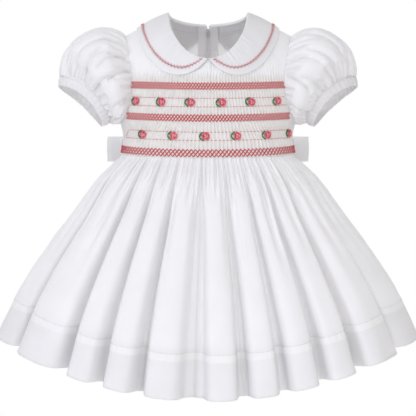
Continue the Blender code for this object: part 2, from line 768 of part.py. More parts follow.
def cuff_ring(ring, turns):
    """One ring of the cuff: turn 0 is its upper outer end, a quarter turn its front."""
    centre = np.array(ring["centre"])
    long = np.array(CUFF_LONG)
    lift = np.array([-CUFF_LONG[2], 0.0, CUFF_LONG[0]]) * (-1, 1, 1)
    wide = np.array([0.0, -math.cos(CUFF_TILT), 0.0]) + lift * math.sin(CUFF_TILT)
    long = long * (-1, 1, 1)
    cos, sin = np.cos(turns)[:, None], np.sin(turns)[:, None]
    saddle = -CUFF_SADDLE * np.cos(2 * turns)[:, None] * lift
    return centre - long * ring["long"] * cos + wide * ring["wide"] * sin + saddle


def puff_handle(shape, across, run_way, out_way, turns):
    """How a Bezier curve leaves one end of the sleeve: along the run and out with the puff's swell."""
    full = 0.5 + 0.5 * np.cos(turns)[:, None]
    run = shape["run"] + shape["top_run"] * full ** 0.8
    swell = shape["swell"] + shape["sides"] * np.abs(np.sin(turns)[:, None]) + shape["top"] * full ** 2
    return across + run_way * run + out_way * swell


def sleeve_outer(rows=9):
    """The wearer's left sleeve: columns round from the shoulder tip over the front, rows out to the cuff."""
    start = armhole_ring(SLEEVE_GATHERS) + (2 * SEAM, 0, 0)
    columns = len(start)
    turns = np.linspace(0, 2 * math.pi, columns, endpoint=False)
    end = cuff_ring(CUFF_SEAM, turns)
    away = (start - PUFF_MIDDLE) * (0, 1, 1)
    away /= np.linalg.norm(away, axis=1, keepdims=True)
    cuff_out = end - CUFF_SEAM["centre"]
    cuff_out /= np.linalg.norm(cuff_out, axis=1, keepdims=True)
    inwards = np.subtract(CUFF_SEAM["centre"], CUFF_OPENING["centre"])
    inwards /= np.linalg.norm(inwards)
    first = puff_handle(PUFF_ARMHOLE, start, np.array([1.0, 0, 0]), away, turns)
    second = puff_handle(PUFF_CUFF, end, inwards, cuff_out, turns)
    t = np.linspace(0, 1, rows)[:, None, None]
    grid = (start * (1 - t) ** 3 + first * 3 * t * (1 - t) ** 2
            + second * 3 * t * t * (1 - t) + end * t ** 3)
    share = t[..., 0]
    full = 0.5 + 0.5 * np.cos(turns)
    ripple = np.where(np.arange(columns) % 2, SLEEVE_RIPPLE, -SLEEVE_RIPPLE)
    at_armhole = np.exp(-((share - 0.12) / 0.12) ** 2) * (0.2 + 0.8 * full ** 0.5)
    at_cuff = np.exp(-((share - 0.9) / 0.1) ** 2)
    depth = ripple * (at_armhole + at_cuff)
    depth[0] = 0
    depth[-1] = 0
    return moved_out(grid, depth, closed=True), turns


def sleeves(cotton, root):
    grid, turns = sleeve_outer()
    seam = cuff_ring(CUFF_SEAM, turns)
    opening = cuff_ring(CUFF_OPENING, turns)
    along = (opening - seam) / np.linalg.norm(opening - seam, axis=1, keepdims=True)
    grid[-1] = seam - along * SEAM
    cuff = np.array([seam, (seam + opening) / 2 + (seam - np.mean(seam, axis=0)) * 0.02, opening])
    for name, side in (("left", 1), ("right", -1)):
        panel("sleeve_" + name, side_grid(grid, side), cotton, root, closed=True)
        panel("cuff_" + name, side_grid(cuff, side), cotton, root, thickness=CUFF, closed=True)


# ---------------------------------------------------------------- skirt

def fold_wave(degrees):
    """1 at a fold's crest and -1 between folds."""
    degrees = (degrees + 180) % 360 - 180
    crest = np.clip(np.searchsorted(FOLDS.keys, degrees, side="right") - 1, 0, len(FOLDS.keys) - 2)
    start, stop = FOLDS.keys[crest], FOLDS.keys[crest + 1]
    phase = (degrees - start) / (stop - start)
    depth = np.interp(degrees, FOLDS.keys, FOLDS.columns["depth"])
    return depth * (1 - 2 * np.abs(np.sin(math.pi * phase)) ** 2.4)


def skirt_ring(share, degrees, lift=0.0, folded=1.0):
    """The skirt at a share of its length: points round it, moved out by its folds and a lift."""
    turn = np.radians(degrees)
    front = np.cos(turn) > 0
    side, side_drop = SKIRT.read("side", share), SKIRT.read("side_drop", share)
    front_drop = SKIRT.read("front_drop", share)
    reach = np.where(front, SKIRT.read("front", share), SKIRT.read("back", share))
    x = side * np.sin(turn)
    y = -np.sign(np.cos(turn)) * reach * section(np.sin(turn))
    drop = side_drop + (front_drop - side_drop) * np.abs(np.cos(turn)) ** HEM_ROUND
    wave = fold_wave(degrees)
    fold = SKIRT.read("fold", share)
    out = np.stack([np.sin(turn) / side, -np.cos(turn) / reach], axis=-1)
    out /= np.linalg.norm(out, axis=-1, keepdims=True)
    reach_out = fold * (wave if folded else 1) + lift
    z = WAIST - SEAM / 2 - drop - FOLD_DIP * (fold / 18) * (wave if folded else 0)
    return np.stack([x + out[:, 0] * reach_out, y + out[:, 1] * reach_out, z], axis=-1)


def even_angles(first, last, count):
    """Angles that part the waist ring into even lengths."""
    fine = np.linspace(first, last, 721)
    ring = np.column_stack([skirt_ring(0.28, fine, folded=0), fine])
    length = np.concatenate([[0], np.cumsum(np.linalg.norm(np.diff(ring[:, :3], axis=0), axis=1))])
    return np.interp(np.linspace(0, length[-1], count), length, fine)


def skirt_panel(name, first, last, seed, cotton, root):
    columns = 2 * GATHERS + 1
    degrees = even_angles(first, last, columns)
    uneven = np.random.default_rng(seed).uniform(0.65, 1.15, columns)
    ripple = np.where(np.arange(columns) % 2, 1, -1) * uneven
    ripple[0] = ripple[-1] = 0
    rings = [skirt_ring(share, degrees, SKIRT.read("gather", share) * ripple) for share in SKIRT_RINGS]
    panel(name, np.array(rings)[::-1], cotton, root)


def skirts(cotton, root):
    skirt_panel("skirt_front", -90 + SKIRT_GAP, 90 - SKIRT_GAP, 3, cotton, root)
    skirt_panel("skirt_back", 90 + SKIRT_GAP, 270 - SKIRT_GAP, 5, cotton, root)


# ---------------------------------------------------------------- sash and bow

def sashes(ribbon, root):
    """From the side seams round the back, on the plain backs just above the waist."""
    back = back_outer()[0][:, 4:]
    heights = WAIST + np.linspace(*SASH_RISE, 3)
    grid = []
    for z in heights:
        row = min(np.searchsorted(back[:, -1, 2], z) - 1, len(back) - 2)
        share = (z - back[row, -1, 2]) / (back[row + 1, -1, 2] - back[row, -1, 2])
        grid.append(back[row] * (1 - share) + back[row + 1] * share)
    outer = moved_out(np.array(grid), SEAM + RIBBON)
    panel("sash_left", outer, ribbon, root, thickness=RIBBON)
    panel("sash_right", mirrored(outer), ribbon, root, thickness=RIBBON)


def bow_loops(ribbon, root):
    """Each loop is a band of ribbon folded back on itself, open above and below."""
    outs = np.array([9.5, 30, 60, 95, 122])
    ends = np.radians(np.linspace(60, -60, 5))
    tip_depth = float(LOOP.read("half_depth", LOOP_TURN))
    tip_x = LOOP_TURN + (LOOP_END - LOOP_TURN) * np.cos(ends)
    tip_y = tip_depth * np.sin(ends)
    depth = LOOP.read("half_depth", outs)
    x = np.concatenate([outs, tip_x, outs[::-1]])
    y = np.concatenate([depth, tip_y, -depth[::-1]])
    half_width = LOOP.read("half_width", x)
    height = LOOP.read("height", x)
    grid = np.array([np.stack([x, BOW_BACK + y, height + half_width * level], axis=-1)
                     for level in (1, 0.33, -0.33, -1)])
    panel("bow_loop_left", grid, ribbon, root, thickness=RIBBON, closed=True)
    panel("bow_loop_right", mirrored(grid), ribbon, root, thickness=RIBBON, closed=True)


def bow_knot(ribbon, root):
    """The band round the middle of the bow, a short tube across it."""
    turns = np.linspace(0, 2 * math.pi, 20, endpoint=False)
    rows = []
    for across, swell in zip(KNOT.columns["across"], KNOT.columns["swell"]):
        y = BOW_BACK + KNOT_DEPTH * swell * np.cos(turns)
        z = KNOT_HEIGHT + KNOT_HALF * swell * np.sin(turns)
        rows.append(np.stack([np.full_like(y, across), y, z], axis=-1))
    panel("bow_knot", np.array(rows), ribbon, root, thickness=KNOT_WALL, closed=True)


def tail_grid(rest):
    """A tail on the wearer's left, lying on the back skirt's crests."""
    level = np.linspace(-1, 1, 4)
    grid = []
    for share, middle, half, lift in zip(*TAIL.columns.values()):
        last = share == TAIL.keys[-1]
        row = []
        for x, slant in zip(middle + half * level, TAIL_SLANT * level * last):
            angle = 180 - math.degrees(math.asin(x / float(SKIRT.read("side", share + slant))))
            row.append(skirt_ring(share + slant, np.array([angle]), lift + rest, folded=0)[0])
        grid.append(row)
    return np.array(grid)[::-1, ::-1]


def bow_tails(ribbon, root):
    """Two tails that hang from the knot."""
    panel("bow_tail_left", tail_grid(TAIL_REST["left"]), ribbon, root, thickness=RIBBON)
    panel("bow_tail_right", mirrored(tail_grid(TAIL_REST["right"])), ribbon, root, thickness=RIBBON)


# ---------------------------------------------------------------- the whole dress

def build():
    for old in list(bpy.data.objects):
        bpy.data.objects.remove(old)
    collection = bpy.data.collections.new("Toddler dress")
    bpy.context.scene.collection.children.link(collection)
    root = bpy.data.objects.new("dress", None)
    collection.objects.link(root)

    cotton = material("white cotton", (0.93, 0.94, 0.96), 0.7)
    ribbon = material("white ribbon", (0.94, 0.94, 0.96), 0.5)
    tape = material("zip tape", (0.92, 0.92, 0.92), 0.8)
    metal = material("zip metal", (0.7, 0.7, 0.72), 0.35, 1.0)

    front_bodice(cotton, root)
    back_bodices(cotton, root)
    neck_binding(cotton, root)
    zip_tapes(tape, root)
    collars(cotton, root)
    place, tilt = zip_slider(metal, root)
    zip_pull_tab(metal, root, place, tilt)
    sleeves(cotton, root)
    skirts(cotton, root)
    sashes(ribbon, root)
    bow_loops(ribbon, root)
    bow_knot(ribbon, root)
    bow_tails(ribbon, root)


build()
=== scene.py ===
"""Toddler's smocked party dress, filled out as worn with nothing inside it: its cloth, embroidery and finish.

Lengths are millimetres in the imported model's frame (+Z up, the front faces -Y, +X is the wearer's left) and
turn into metres when a mesh is made. Each piece of cloth is a fine shell on the form of the node it replaces.
"""

import math

import bpy
import numpy as np
from mathutils import Matrix, Vector


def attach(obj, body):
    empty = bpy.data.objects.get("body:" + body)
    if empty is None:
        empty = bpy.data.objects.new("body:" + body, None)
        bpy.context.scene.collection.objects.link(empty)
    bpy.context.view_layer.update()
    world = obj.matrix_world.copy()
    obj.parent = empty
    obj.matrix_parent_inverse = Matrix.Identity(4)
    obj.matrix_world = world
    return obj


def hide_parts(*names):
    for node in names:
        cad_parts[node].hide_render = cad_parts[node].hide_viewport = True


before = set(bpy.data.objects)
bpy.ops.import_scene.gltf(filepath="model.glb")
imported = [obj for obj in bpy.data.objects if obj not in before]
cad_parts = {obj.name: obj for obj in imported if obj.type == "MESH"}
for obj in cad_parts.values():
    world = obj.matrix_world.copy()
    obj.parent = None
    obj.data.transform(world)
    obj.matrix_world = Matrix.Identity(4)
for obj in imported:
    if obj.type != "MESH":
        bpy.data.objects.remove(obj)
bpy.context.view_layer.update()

MM = 0.001

# ---------------------------------------------------------------- sizes of the cloth, in millimetres

SEAM = 0.3
SHOULDER_LAP = 0.15       # the shoulder seam closes to this
NECK_HALF = 53.0
NECK_TOP = 14.6
NECK_FRONT_DROP = 61.1
NECK_BACK_DROP = 13.2
NECK_FULLNESS = 1.15
SHOULDER_SLOPE = 0.51
SECTION_POWER = 2.3
SHOULDER_POWER = 0.75
FRONT_REACH, FRONT_SPREAD = 85.0, 58.0
BACK_REACH, BACK_SPREAD = 80.0, 50.0
WAIST = -176.0
WAIST_LAP = 3.0            # the skirt's gathers come up this far, to the lowest band's edge
YOKE = -69.0
UNDERARM = -125.7
HEM_ROUND = 2.6
BACK_SLIT, SLIDER_SLIT = 0.35, 1.4
ZIP_TOP = -7.0
ZIP_PART = (-23.0, -15.0)

PLEATS = 54                # fewer than the real dress has, so that each shows in a render 416 pixels wide
PLEAT_SAMPLES = 7          # columns of the mesh across one pleat
PLEAT_CREST, PLEAT_VALLEY = 0.6, -1.0


class Table:
    """Rows of numbers under named columns, read by a smooth curve along the first column."""

    def __init__(self, names, rows):
        self.columns = dict(zip(names, np.array(rows, dtype=float).T))
        self.keys = self.columns[names[0]]

    def read(self, name, key):
        values = self.columns[name]
        slopes = np.gradient(values, self.keys)
        key = np.clip(key, self.keys[0], self.keys[-1])
        row = np.clip(np.searchsorted(self.keys, key) - 1, 0, len(self.keys) - 2)
        step = self.keys[row + 1] - self.keys[row]
        t = (key - self.keys[row]) / step
        start = values[row] * (1 + 2 * t) * (1 - t) ** 2 + slopes[row] * step * t * (1 - t) ** 2
        end = values[row + 1] * t * t * (3 - 2 * t) + slopes[row + 1] * step * t * t * (t - 1)
        return start + end


BODY = Table(("height", "half_width"), (
    (-176, 117.3),
    (-162, 114.9),
    (-148, 113.6),
    (-126, 117.4),
    (-105, 118.2),
    (-83, 122),
    (-60, 131),
    (-36, 146),
    (-14, 154),
    (16, 156),
))

ARMHOLE = Table(("height", "edge"), (
    (-125.7, 117.4),
    (-122.7, 113.3),
    (-114.8, 107.8),
    (-105, 104.6),
    (-94.5, 102),
    (-83, 100.4),
    (-71.5, 99.6),
    (-60, 100.8),
    (-47.4, 103),
    (-35.7, 104.9),
    (-22.9, 107.7),
    (-14.7, 110.4),
))

SIDE_SEAM = Table(("height", "edge"), (
    (-176, 116.6),
    (-163, 114.3),
    (-150, 112.4),
    (-139, 110.2),
    (-126, 107.0),
    (-113, 106.8),
))

UNDERARM_DIP = Table(("place", "height", "past_side"), (
    (0, -108.0, 0),
    (1, -115.0, 0),
    (2, -121.0, 0),
    (3, UNDERARM, 0),
    (4, -122.5, 1),
    (5, -118.0, 1),
    (6, -113.2, 1),
))
SIDE_TURN = math.radians(66)

# How far the smocking's pleats stand at each height, and how far the cloth puffs out there
SMOCKING = Table(("height", "stand", "puff"), (
    (-176, 1.1, 0.0),
    (-171, 0.85, 0.2),
    (-163, 0.9, 0.2),
    (-159, 1.5, 0.8),
    (-152, 1.2, 0.3),
    (-145.6, 1.0, 0.3),
    (-140, 1.2, 0.3),
    (-133, 1.35, 0.9),
    (-128.5, 1.3, 0.5),
    (-122.5, 0.85, 0.2),
    (-116.5, 1.4, 0.5),
    (-112.5, 1.35, 0.8),
    (-108, 1.15, 0.3),
    (-102.6, 1.0, 0.3),
    (-97, 1.15, 0.3),
    (-91.5, 1.4, 0.9),
    (-87.5, 1.3, 0.5),
    (-81.6, 0.85, 0.2),
    (-76, 1.3, 0.4),
    (-69, 1.1, 0.3),
))

COLLAR_FRONT = Table(("share", "across", "height"), (
    (0.00, 2.6, -49.4),
    (0.08, 11.5, -57.8),
    (0.16, 20.5, -63.0),
    (0.27, 34.0, -67.2),
    (0.37, 46.0, -66.4),
    (0.50, 60.5, -60.2),
    (0.63, 73.5, -49.0),
    (0.76, 83.5, -35.0),
    (0.88, 91.0, -19.0),
    (1.00, 94.0, -5.8),
))
COLLAR_BACK = Table(("share", "across", "height"), (
    (0.00, 94.0, -5.8),
    (0.15, 92.0, -17.0),
    (0.35, 82.0, -31.0),
    (0.55, 62.0, -38.5),
    (0.72, 40.0, -38.0),
    (0.86, 20.0, -27.0),
    (0.94, 10.0, -15.0),
    (1.00, 5.0, -3.0),
))
COLLAR_RISE = Table(("share", "rise"), (
    (0.0, 0.5),
    (0.15, 1.1),
    (0.45, 1.8),
    (0.8, 1.5),
    (1.0, 0.9),
))
COLLAR_SOLID = 1.6         # thickness of the node that the collar replaces
COLLAR_THICK = 1.1         # two layers of cotton and their turning

# The skirt's rings from the waist seam (0) to the hem (1). fold is how far the crests of the large folds
# stand out, valley and gather are the depths of the valleys between the folds and of the gathers that run out
# below the waist, wide is the valleys' half width as a share of its width at the hem, and thin is the
# gathers' half width in millimetres.
SKIRT = Table(("share", "side", "side_drop", "front", "back", "front_drop", "fold",
               "valley", "gather", "wide", "thin"), (
    (0.00, 117.4, 0.0, 79.6, 76.4, 0.0, 0.9, 3.6, 3.8, 0.18, 1.4),
    (0.03, 123.5, 4.0, 84.0, 80.5, 8.0, 1.3, 6.0, 6.0, 0.2, 1.5),
    (0.07, 131.0, 11.0, 90.0, 86.0, 19.0, 1.8, 8.2, 7.2, 0.23, 1.8),
    (0.16, 148.5, 31.0, 100.0, 96.0, 46.0, 3.2, 11.2, 7.4, 0.31, 2.4),
    (0.28, 166.0, 58.0, 111.0, 107.0, 80.0, 5.4, 14.5, 6.6, 0.42, 3.1),
    (0.50, 202.0, 112.0, 132.0, 128.0, 143.0, 10.5, 18.5, 5.2, 0.62, 4.6),
    (0.75, 238.0, 173.0, 155.0, 151.0, 214.0, 15.5, 21.5, 3.6, 0.83, 6.4),
    (1.00, 265.0, 234.0, 174.0, 170.0, 286.0, 19.0, 24.0, 3.0, 1.0, 8.0),
))
VALLEYS = Table(("angle", "half_width", "depth"), (
    (-100.5, 7.0, 1.0),
    (-66.0, 7.0, 0.95),
    (-42.6, 8.0, 1.0),
    (-30.4, 6.5, 0.95),
    (-18.9, 6.8, 0.95),
    (-3.9, 15.0, 1.0),
    (9.8, 7.6, 1.0),
    (20.8, 7.0, 0.95),
    (32.4, 6.8, 1.0),
    (44.8, 7.4, 1.0),
    (64.0, 7.0, 0.95),
    (101.0, 7.0, 1.0),
    (122.5, 8.0, 1.0),
    (141.0, 7.0, 0.95),
    (157.0, 9.0, 1.0),
    (172.5, 7.0, 1.0),
    (188.5, 8.5, 0.95),
    (205.0, 7.0, 1.0),
    (221.0, 8.0, 1.0),
    (239.0, 7.5, 1.0),
    (259.5, 7.0, 1.0),
))
WAIST_PITCH = 5.4          # one gather of the waist seam to the next
FOLD_DIP = 3.0             # how much lower the crests are at the hem, and the valleys for each mm of depth
VALLEY_DIP = 0.06
CROWN = 0.3                # how far the folds round down to their edges, as a share of their half width
HEM_LINE = 0.817           # the hem's stitch line, as a share of the skirt at its front and back
HEM_LINE_SIDE = -0.018     # how much further down it is at the sides
HEM_STRIP = 0.031          # depth of the turned-under strip below the stitch line

CUFF_LONG = (0.738, 0.0, -0.675)
CUFF_TILT = math.radians(13)
CUFF_OPENING = {"centre": (168.6, 0.0, -105.2), "long": 39.7, "wide": 36.0}
CUFF_SEAM = {"centre": (161.8, 0.0, -95.9), "long": 44.7, "wide": 41.0}
CUFF_SADDLE = 3.5
CUFF_THICK = 1.3
PUFF_MIDDLE = (104.0, 0.0, -70.0)
PUFF_ARMHOLE = {"run": 3.4, "top_run": 29.5, "swell": 2.0, "sides": 22.0, "top": 27.0}
PUFF_CUFF = {"run": 2.0, "top_run": 27.0, "swell": 1.0, "sides": 16.0, "top": 26.0}

LOOP = Table(("out", "half_depth", "half_width", "height"), (
    (9.5, 2.2, 10.0, -165.5),
    (30, 5.0, 13.0, -166.5),
    (70, 9.0, 16.0, -167.4),
    (110, 9.5, 17.0, -168.8),
    (131, 8.0, 17.0, -168.9),
))
LOOP_END, LOOP_TURN = 142.0, 131.0
KNOT_DEPTH, KNOT_HALF, KNOT_HEIGHT = 7.0, 14.5, -165.5
BOW_BACK = 83.95
TAIL = Table(("share", "middle", "half_width", "lift"), (
    (0.0151, 10.0, 8.1, 6.50),
    (0.045, 11.8, 10.4, 5.40),
    (0.09, 14.6, 12.8, 4.50),
    (0.16, 18.9, 14.8, 3.85),
    (0.26, 25.1, 15.9, 3.20),
    (0.38, 32.6, 16.4, 2.40),
    (0.5, 40.0, 16.5, 1.90),
    (0.63, 48.1, 16.5, 1.45),
    (0.74, 54.9, 16.5, 1.25),
))
TAIL_SLANT = 0.035
SASH_RISE = (1.5, 31.5)
TAPE_EDGES = (2.1, 14.0)

# Embroidery: the lattice bands and thin lines at the centre front, and how far each line rises at the sides
BANDS = ((-86.4, -76.8), (-127.2, -117.7), (-172.6, -162.4))
BAND_LEVELS, BAND_INSET = 4, 0.3
LINES = (-97.2, -108.1, -140.4, -151.2)
LINE_RISE = 2.2
ROSE_ROWS = (
    (-102.6, (-92.6, -59.1, -21.6, 18.3, 55.9, 90.7)),
    (-145.6, (-83.5, -43.9, -2.8, 37.6, 76.8, 106.3)),
)
COLLAR_STITCH_IN = 8.5     # the collar's coral line from its outer edge


# ---------------------------------------------------------------- the body form

def shoulder_line(x):
    return NECK_TOP - SHOULDER_SLOPE * (np.abs(x) - NECK_HALF)


def depth_under(drop, side):
    """How far the body reaches forwards (side -1) or back (side 1) at a drop under the shoulder line."""
    reach, spread = (FRONT_REACH, FRONT_SPREAD) if side < 0 else (BACK_REACH, BACK_SPREAD)
    return reach * (1 - np.exp(-(np.maximum(drop, 0) / spread) ** SHOULDER_POWER))


def section(share):
    return (1 - np.minimum(np.abs(share), 1) ** SECTION_POWER) ** (1 / SECTION_POWER)


def body(x, z, side):
    """Points of the body form at a place across and a height."""
    x, z = np.broadcast_arrays(np.asarray(x, float), np.asarray(z, float))
    depth = depth_under(shoulder_line(x) - z, side) * section(x / BODY.read("half_width", z))
    return np.stack([x, side * depth, z], axis=-1)


DROPS = 260 * np.linspace(0, 1, 4001) ** 3
ARCS = {side: np.concatenate([[0], np.cumsum(np.hypot(np.diff(DROPS), np.diff(depth_under(DROPS, side))))])
        for side in (-1, 1)}


def arc_at(x, z, side):
    """Length of cloth from the shoulder line down to a height."""
    return np.interp(shoulder_line(x) - z, DROPS, ARCS[side])


def over_shoulder(x, arc, side):
    """Points of the body form at a length of cloth from the shoulder line."""
    drop = np.interp(arc, ARCS[side], DROPS)
    return body(x, shoulder_line(x) - drop, side)


def unit(vectors):
    """The same vectors at length 1."""
    return vectors / np.maximum(np.linalg.norm(vectors, axis=-1, keepdims=True), 1e-9)


def blend(first, second, share):
    return first * (1 - share) + second * share


def end_to_end(groups):
    """Groups of matching arrays, with the arrays of each kind put end to end."""
    return [np.concatenate(group) for group in zip(*groups)]


def lengths(points):
    """Length along a curve at each of its points."""
    steps = np.linalg.norm(np.diff(points, axis=0), axis=1)
    return np.concatenate([[0], np.cumsum(steps)])


def read_along(points, length, places):
    """A curve's points at places along its length."""
    return np.stack([np.interp(places, length, column) for column in points.T], axis=-1)


def evenly(points, count):
    """The same curve with count points evenly spaced along it."""
    length = lengths(points)
    return read_along(points, length, np.linspace(0, length[-1], count))


def normals_of(grid, closed=False):
    """Unit normals of a grid whose columns run anticlockwise from above and whose rows run upwards."""
    if closed:
        across = np.roll(grid, -1, axis=1) - np.roll(grid, 1, axis=1)
    else:
        across = np.gradient(grid, axis=1)
    return unit(np.cross(across, np.gradient(grid, axis=0)))


def moved_out(grid, amount, closed=False):
    amount = np.asarray(amount, float)
    if amount.ndim == 2:
        amount = amount[..., None]
    return grid + normals_of(grid, closed) * amount


def mirrored(grid):
    """The grid on the wearer's other side, with its faces still pointing out."""
    return (grid * (-1, 1, 1))[:, ::-1]


def on_side(grid, side):
    """A grid made for the wearer's left (side 1), as it is or mirrored to the right (side -1)."""
    return grid if side > 0 else mirrored(grid)


def noise(u, v, seed, shortest, longest, waves=9):
    """Smooth uneven numbers, mostly within -1 to 1, over two measures with wavelengths between two limits."""
    draw = np.random.default_rng(seed)
    total = 0
    for _ in range(waves):
        turn, phase = draw.uniform(0, 2 * math.pi, 2)
        wave = shortest * (longest / shortest) ** draw.uniform()
        total = total + np.cos(2 * math.pi * (u * math.cos(turn) + v * math.sin(turn)) / wave + phase)
    return total / math.sqrt(waves) * 0.75


def smooth_step(value, low, high):
    """0 below low, 1 above high and a smooth rise between them."""
    t = np.clip((value - low) / (high - low), 0, 1)
    return t * t * (3 - 2 * t)


def within(value, rise, fall):
    """1 between a rise and a fall, each given by where it begins and ends, and 0 outside them."""
    return smooth_step(value, *rise) * (1 - smooth_step(value, *fall))


# ---------------------------------------------------------------- meshes

def cloth_uv(grid, closed):
    """Metres along the cloth: across from a middle row and up from a middle column."""
    rows, columns = grid.shape[:2]
    middle = grid[rows // 2]
    if closed:
        middle = np.concatenate([middle, middle[:1]])
    u = lengths(middle) * MM
    v = lengths(grid[:, columns // 2]) * MM
    return np.stack(np.meshgrid(u, v), axis=-1)


def grid_faces(rows, columns, closed, closed_rows=False):
    index = np.arange(rows * columns).reshape(rows, columns)
    if closed:
        index = np.concatenate([index, index[:, :1]], axis=1)
    if closed_rows:
        index = np.concatenate([index, index[:1]], axis=0)
    return np.stack([index[:-1, :-1], index[:-1, 1:], index[1:, 1:], index[1:, :-1]], axis=-1)


def new_object(name, vertices, faces, finishes, uv, shades=None, slots=None):
    """One mesh object from points in millimetres and quads, with its corner UVs and point values."""
    mesh = bpy.data.meshes.new(name)
    faces = np.asarray(faces).reshape(-1, 4)
    mesh.vertices.add(len(vertices))
    mesh.vertices.foreach_set("co", (np.asarray(vertices) * MM).astype(np.float32).ravel())
    mesh.loops.add(faces.size)
    mesh.loops.foreach_set("vertex_index", faces.astype(np.int32).ravel())
    mesh.polygons.add(len(faces))
    mesh.polygons.foreach_set("loop_start", np.arange(0, faces.size, 4, dtype=np.int32))
    layer = mesh.uv_layers.new(name="cloth")
    layer.data.foreach_set("uv", np.asarray(uv, np.float32).reshape(-1))
    for key, values in (shades or {}).items():
        stored = mesh.attributes.new(key, "FLOAT", "POINT")
        stored.data.foreach_set("value", np.asarray(values, np.float32).ravel())
    for finish in finishes:
        mesh.materials.append(finish)
    if slots is not None:
        mesh.polygons.foreach_set("material_index", np.asarray(slots, np.int32).ravel())
    mesh.update(calc_edges=True)
    mesh.validate()
    mesh.shade_smooth()
    made = bpy.data.objects.new(name, mesh)
    bpy.context.scene.collection.objects.link(made)
    return made


def cloth(name, grid, finish, closed=False, closed_rows=False, keep=None, shades=None):
    """A sheet of cloth from a grid of points; keep says which of its faces are there."""
    rows, columns = grid.shape[:2]
    faces = grid_faces(rows, columns, closed, closed_rows)
    uv = cloth_uv(grid, closed)
    if closed_rows:
        uv = np.concatenate([uv, uv[-1:] + (uv[-1:] - uv[-2:-1])], axis=0)
    corner = np.stack([uv[:-1, :-1], uv[:-1, 1:], uv[1:, 1:], uv[1:, :-1]], axis=2)
    if keep is None:
        return new_object(name, grid.reshape(-1, 3), faces, [finish], corner, shades)
    faces, corner = faces[keep], corner[keep]
    used = np.unique(faces)
    renumber = np.zeros(rows * columns, int)
    renumber[used] = np.arange(len(used))
    return new_object(name, grid.reshape(-1, 3)[used], renumber[faces], [finish], corner)


def tubes(paths, outs, radii, sides, flat, winding=None):
    """Threads along paths (count, rings, 3), flattened towards outs: points, quads and corner UVs.

    winding is (pitch, depth): the ridges of a thread wound round each tube.
    """
    count, rings = paths.shape[:2]
    along = unit(np.gradient(paths, axis=1))
    across = unit(np.cross(along, np.broadcast_to(outs, paths.shape)))
    up = np.cross(across, along)
    turn = np.linspace(0, 2 * math.pi, sides, endpoint=False)
    steps = np.linalg.norm(np.diff(paths, axis=1), axis=-1)
    run = np.concatenate([np.zeros((count, 1)), np.cumsum(steps, axis=1)], axis=1)
    swell = np.broadcast_to(radii, (count, rings))[..., None, None]
    if winding:
        pitch, depth = winding
        swell = swell * (1 + depth * np.cos(turn + 2 * math.pi * run[..., None] / pitch))[..., None]
    ring = across[:, :, None] * np.cos(turn)[:, None] + up[:, :, None] * (np.sin(turn) * flat)[:, None]
    points = paths[:, :, None] + ring * swell
    faces = np.arange(count)[:, None, None, None] * rings * sides + grid_faces(rings, sides, True)
    u = np.broadcast_to(np.linspace(0, 1, sides + 1), (count, rings, sides + 1))
    uv = np.stack([u, np.broadcast_to(run[..., None], u.shape)], axis=-1)
    corner = np.stack([uv[:, :-1, :-1], uv[:, :-1, 1:], uv[:, 1:, 1:], uv[:, 1:, :-1]], axis=3)
    # tip is 1 at both ends of each thread, where the finish paints shade as it dips into the cloth
    tip = np.abs(np.linspace(-1, 1, rings)) ** 4
    tips = np.broadcast_to(tip[:, None], (count, rings, sides))
    return {"points": points.reshape(-1, 3), "faces": faces.reshape(-1, 4), "uv": corner.reshape(-1, 4, 2),
            "size": rings * sides, "tip": tips.ravel()}


def threads(name, groups, materials, seed):
    """Groups of threads, each with its material's slot, in one object; every thread has its own shade."""
    draw = np.random.default_rng(seed)
    first = 0
    rows = []
    for made, slot in groups:
        count = len(made["points"]) // made["size"]
        shade = np.repeat(draw.uniform(-1, 1, count), made["size"])
        slots = np.full(len(made["faces"]), slot)
        rows.append((made["points"], made["faces"] + first, made["uv"], made["tip"], shade, slots))
        first += len(made["points"])
    points, faces, uv, tip, shade, slots = end_to_end(rows)
    return new_object(name, points, faces, materials, uv, {"shade": shade, "tip": tip}, slots)


def stitches(starts, ends, outs, radius, bow=0.4, rings=7, sides=6, flat=0.75):
    """Short stitches that rise over the cloth and dip into it at both ends."""
    t = np.linspace(0, 1, rings)[:, None]
    paths = blend(starts[:, None], ends[:, None], t)
    paths = paths + outs[:, None] * (np.sin(math.pi * t) * bow - 0.15)
    taper = np.sin(math.pi * np.clip(t[:, 0], 0.04, 0.96)) ** 0.4
    return tubes(paths, outs[:, None], radius * taper, sides, flat)


def band_of(outer, thickness, closed=False, turns=3):
    """A closed profile across a band: outer rows, a rounded turn, inner rows and a rounded turn back."""
    inner = moved_out(outer, -thickness, closed)
    angles = np.linspace(0, math.pi, turns + 2)[1:-1]

    def turned(from_row, to_row, beyond):
        way = unit(beyond)
        middle, reach = (from_row + to_row) / 2, (from_row - to_row) / 2
        return [middle + reach * math.cos(a) + way * thickness / 2 * math.sin(a) for a in angles]

    top = turned(outer[-1], inner[-1], outer[-1] - outer[-2])
    bottom = turned(inner[0], outer[0], outer[0] - outer[1])
    return np.concatenate([outer, top, inner[::-1], bottom])


# ---------------------------------------------------------------- finishes

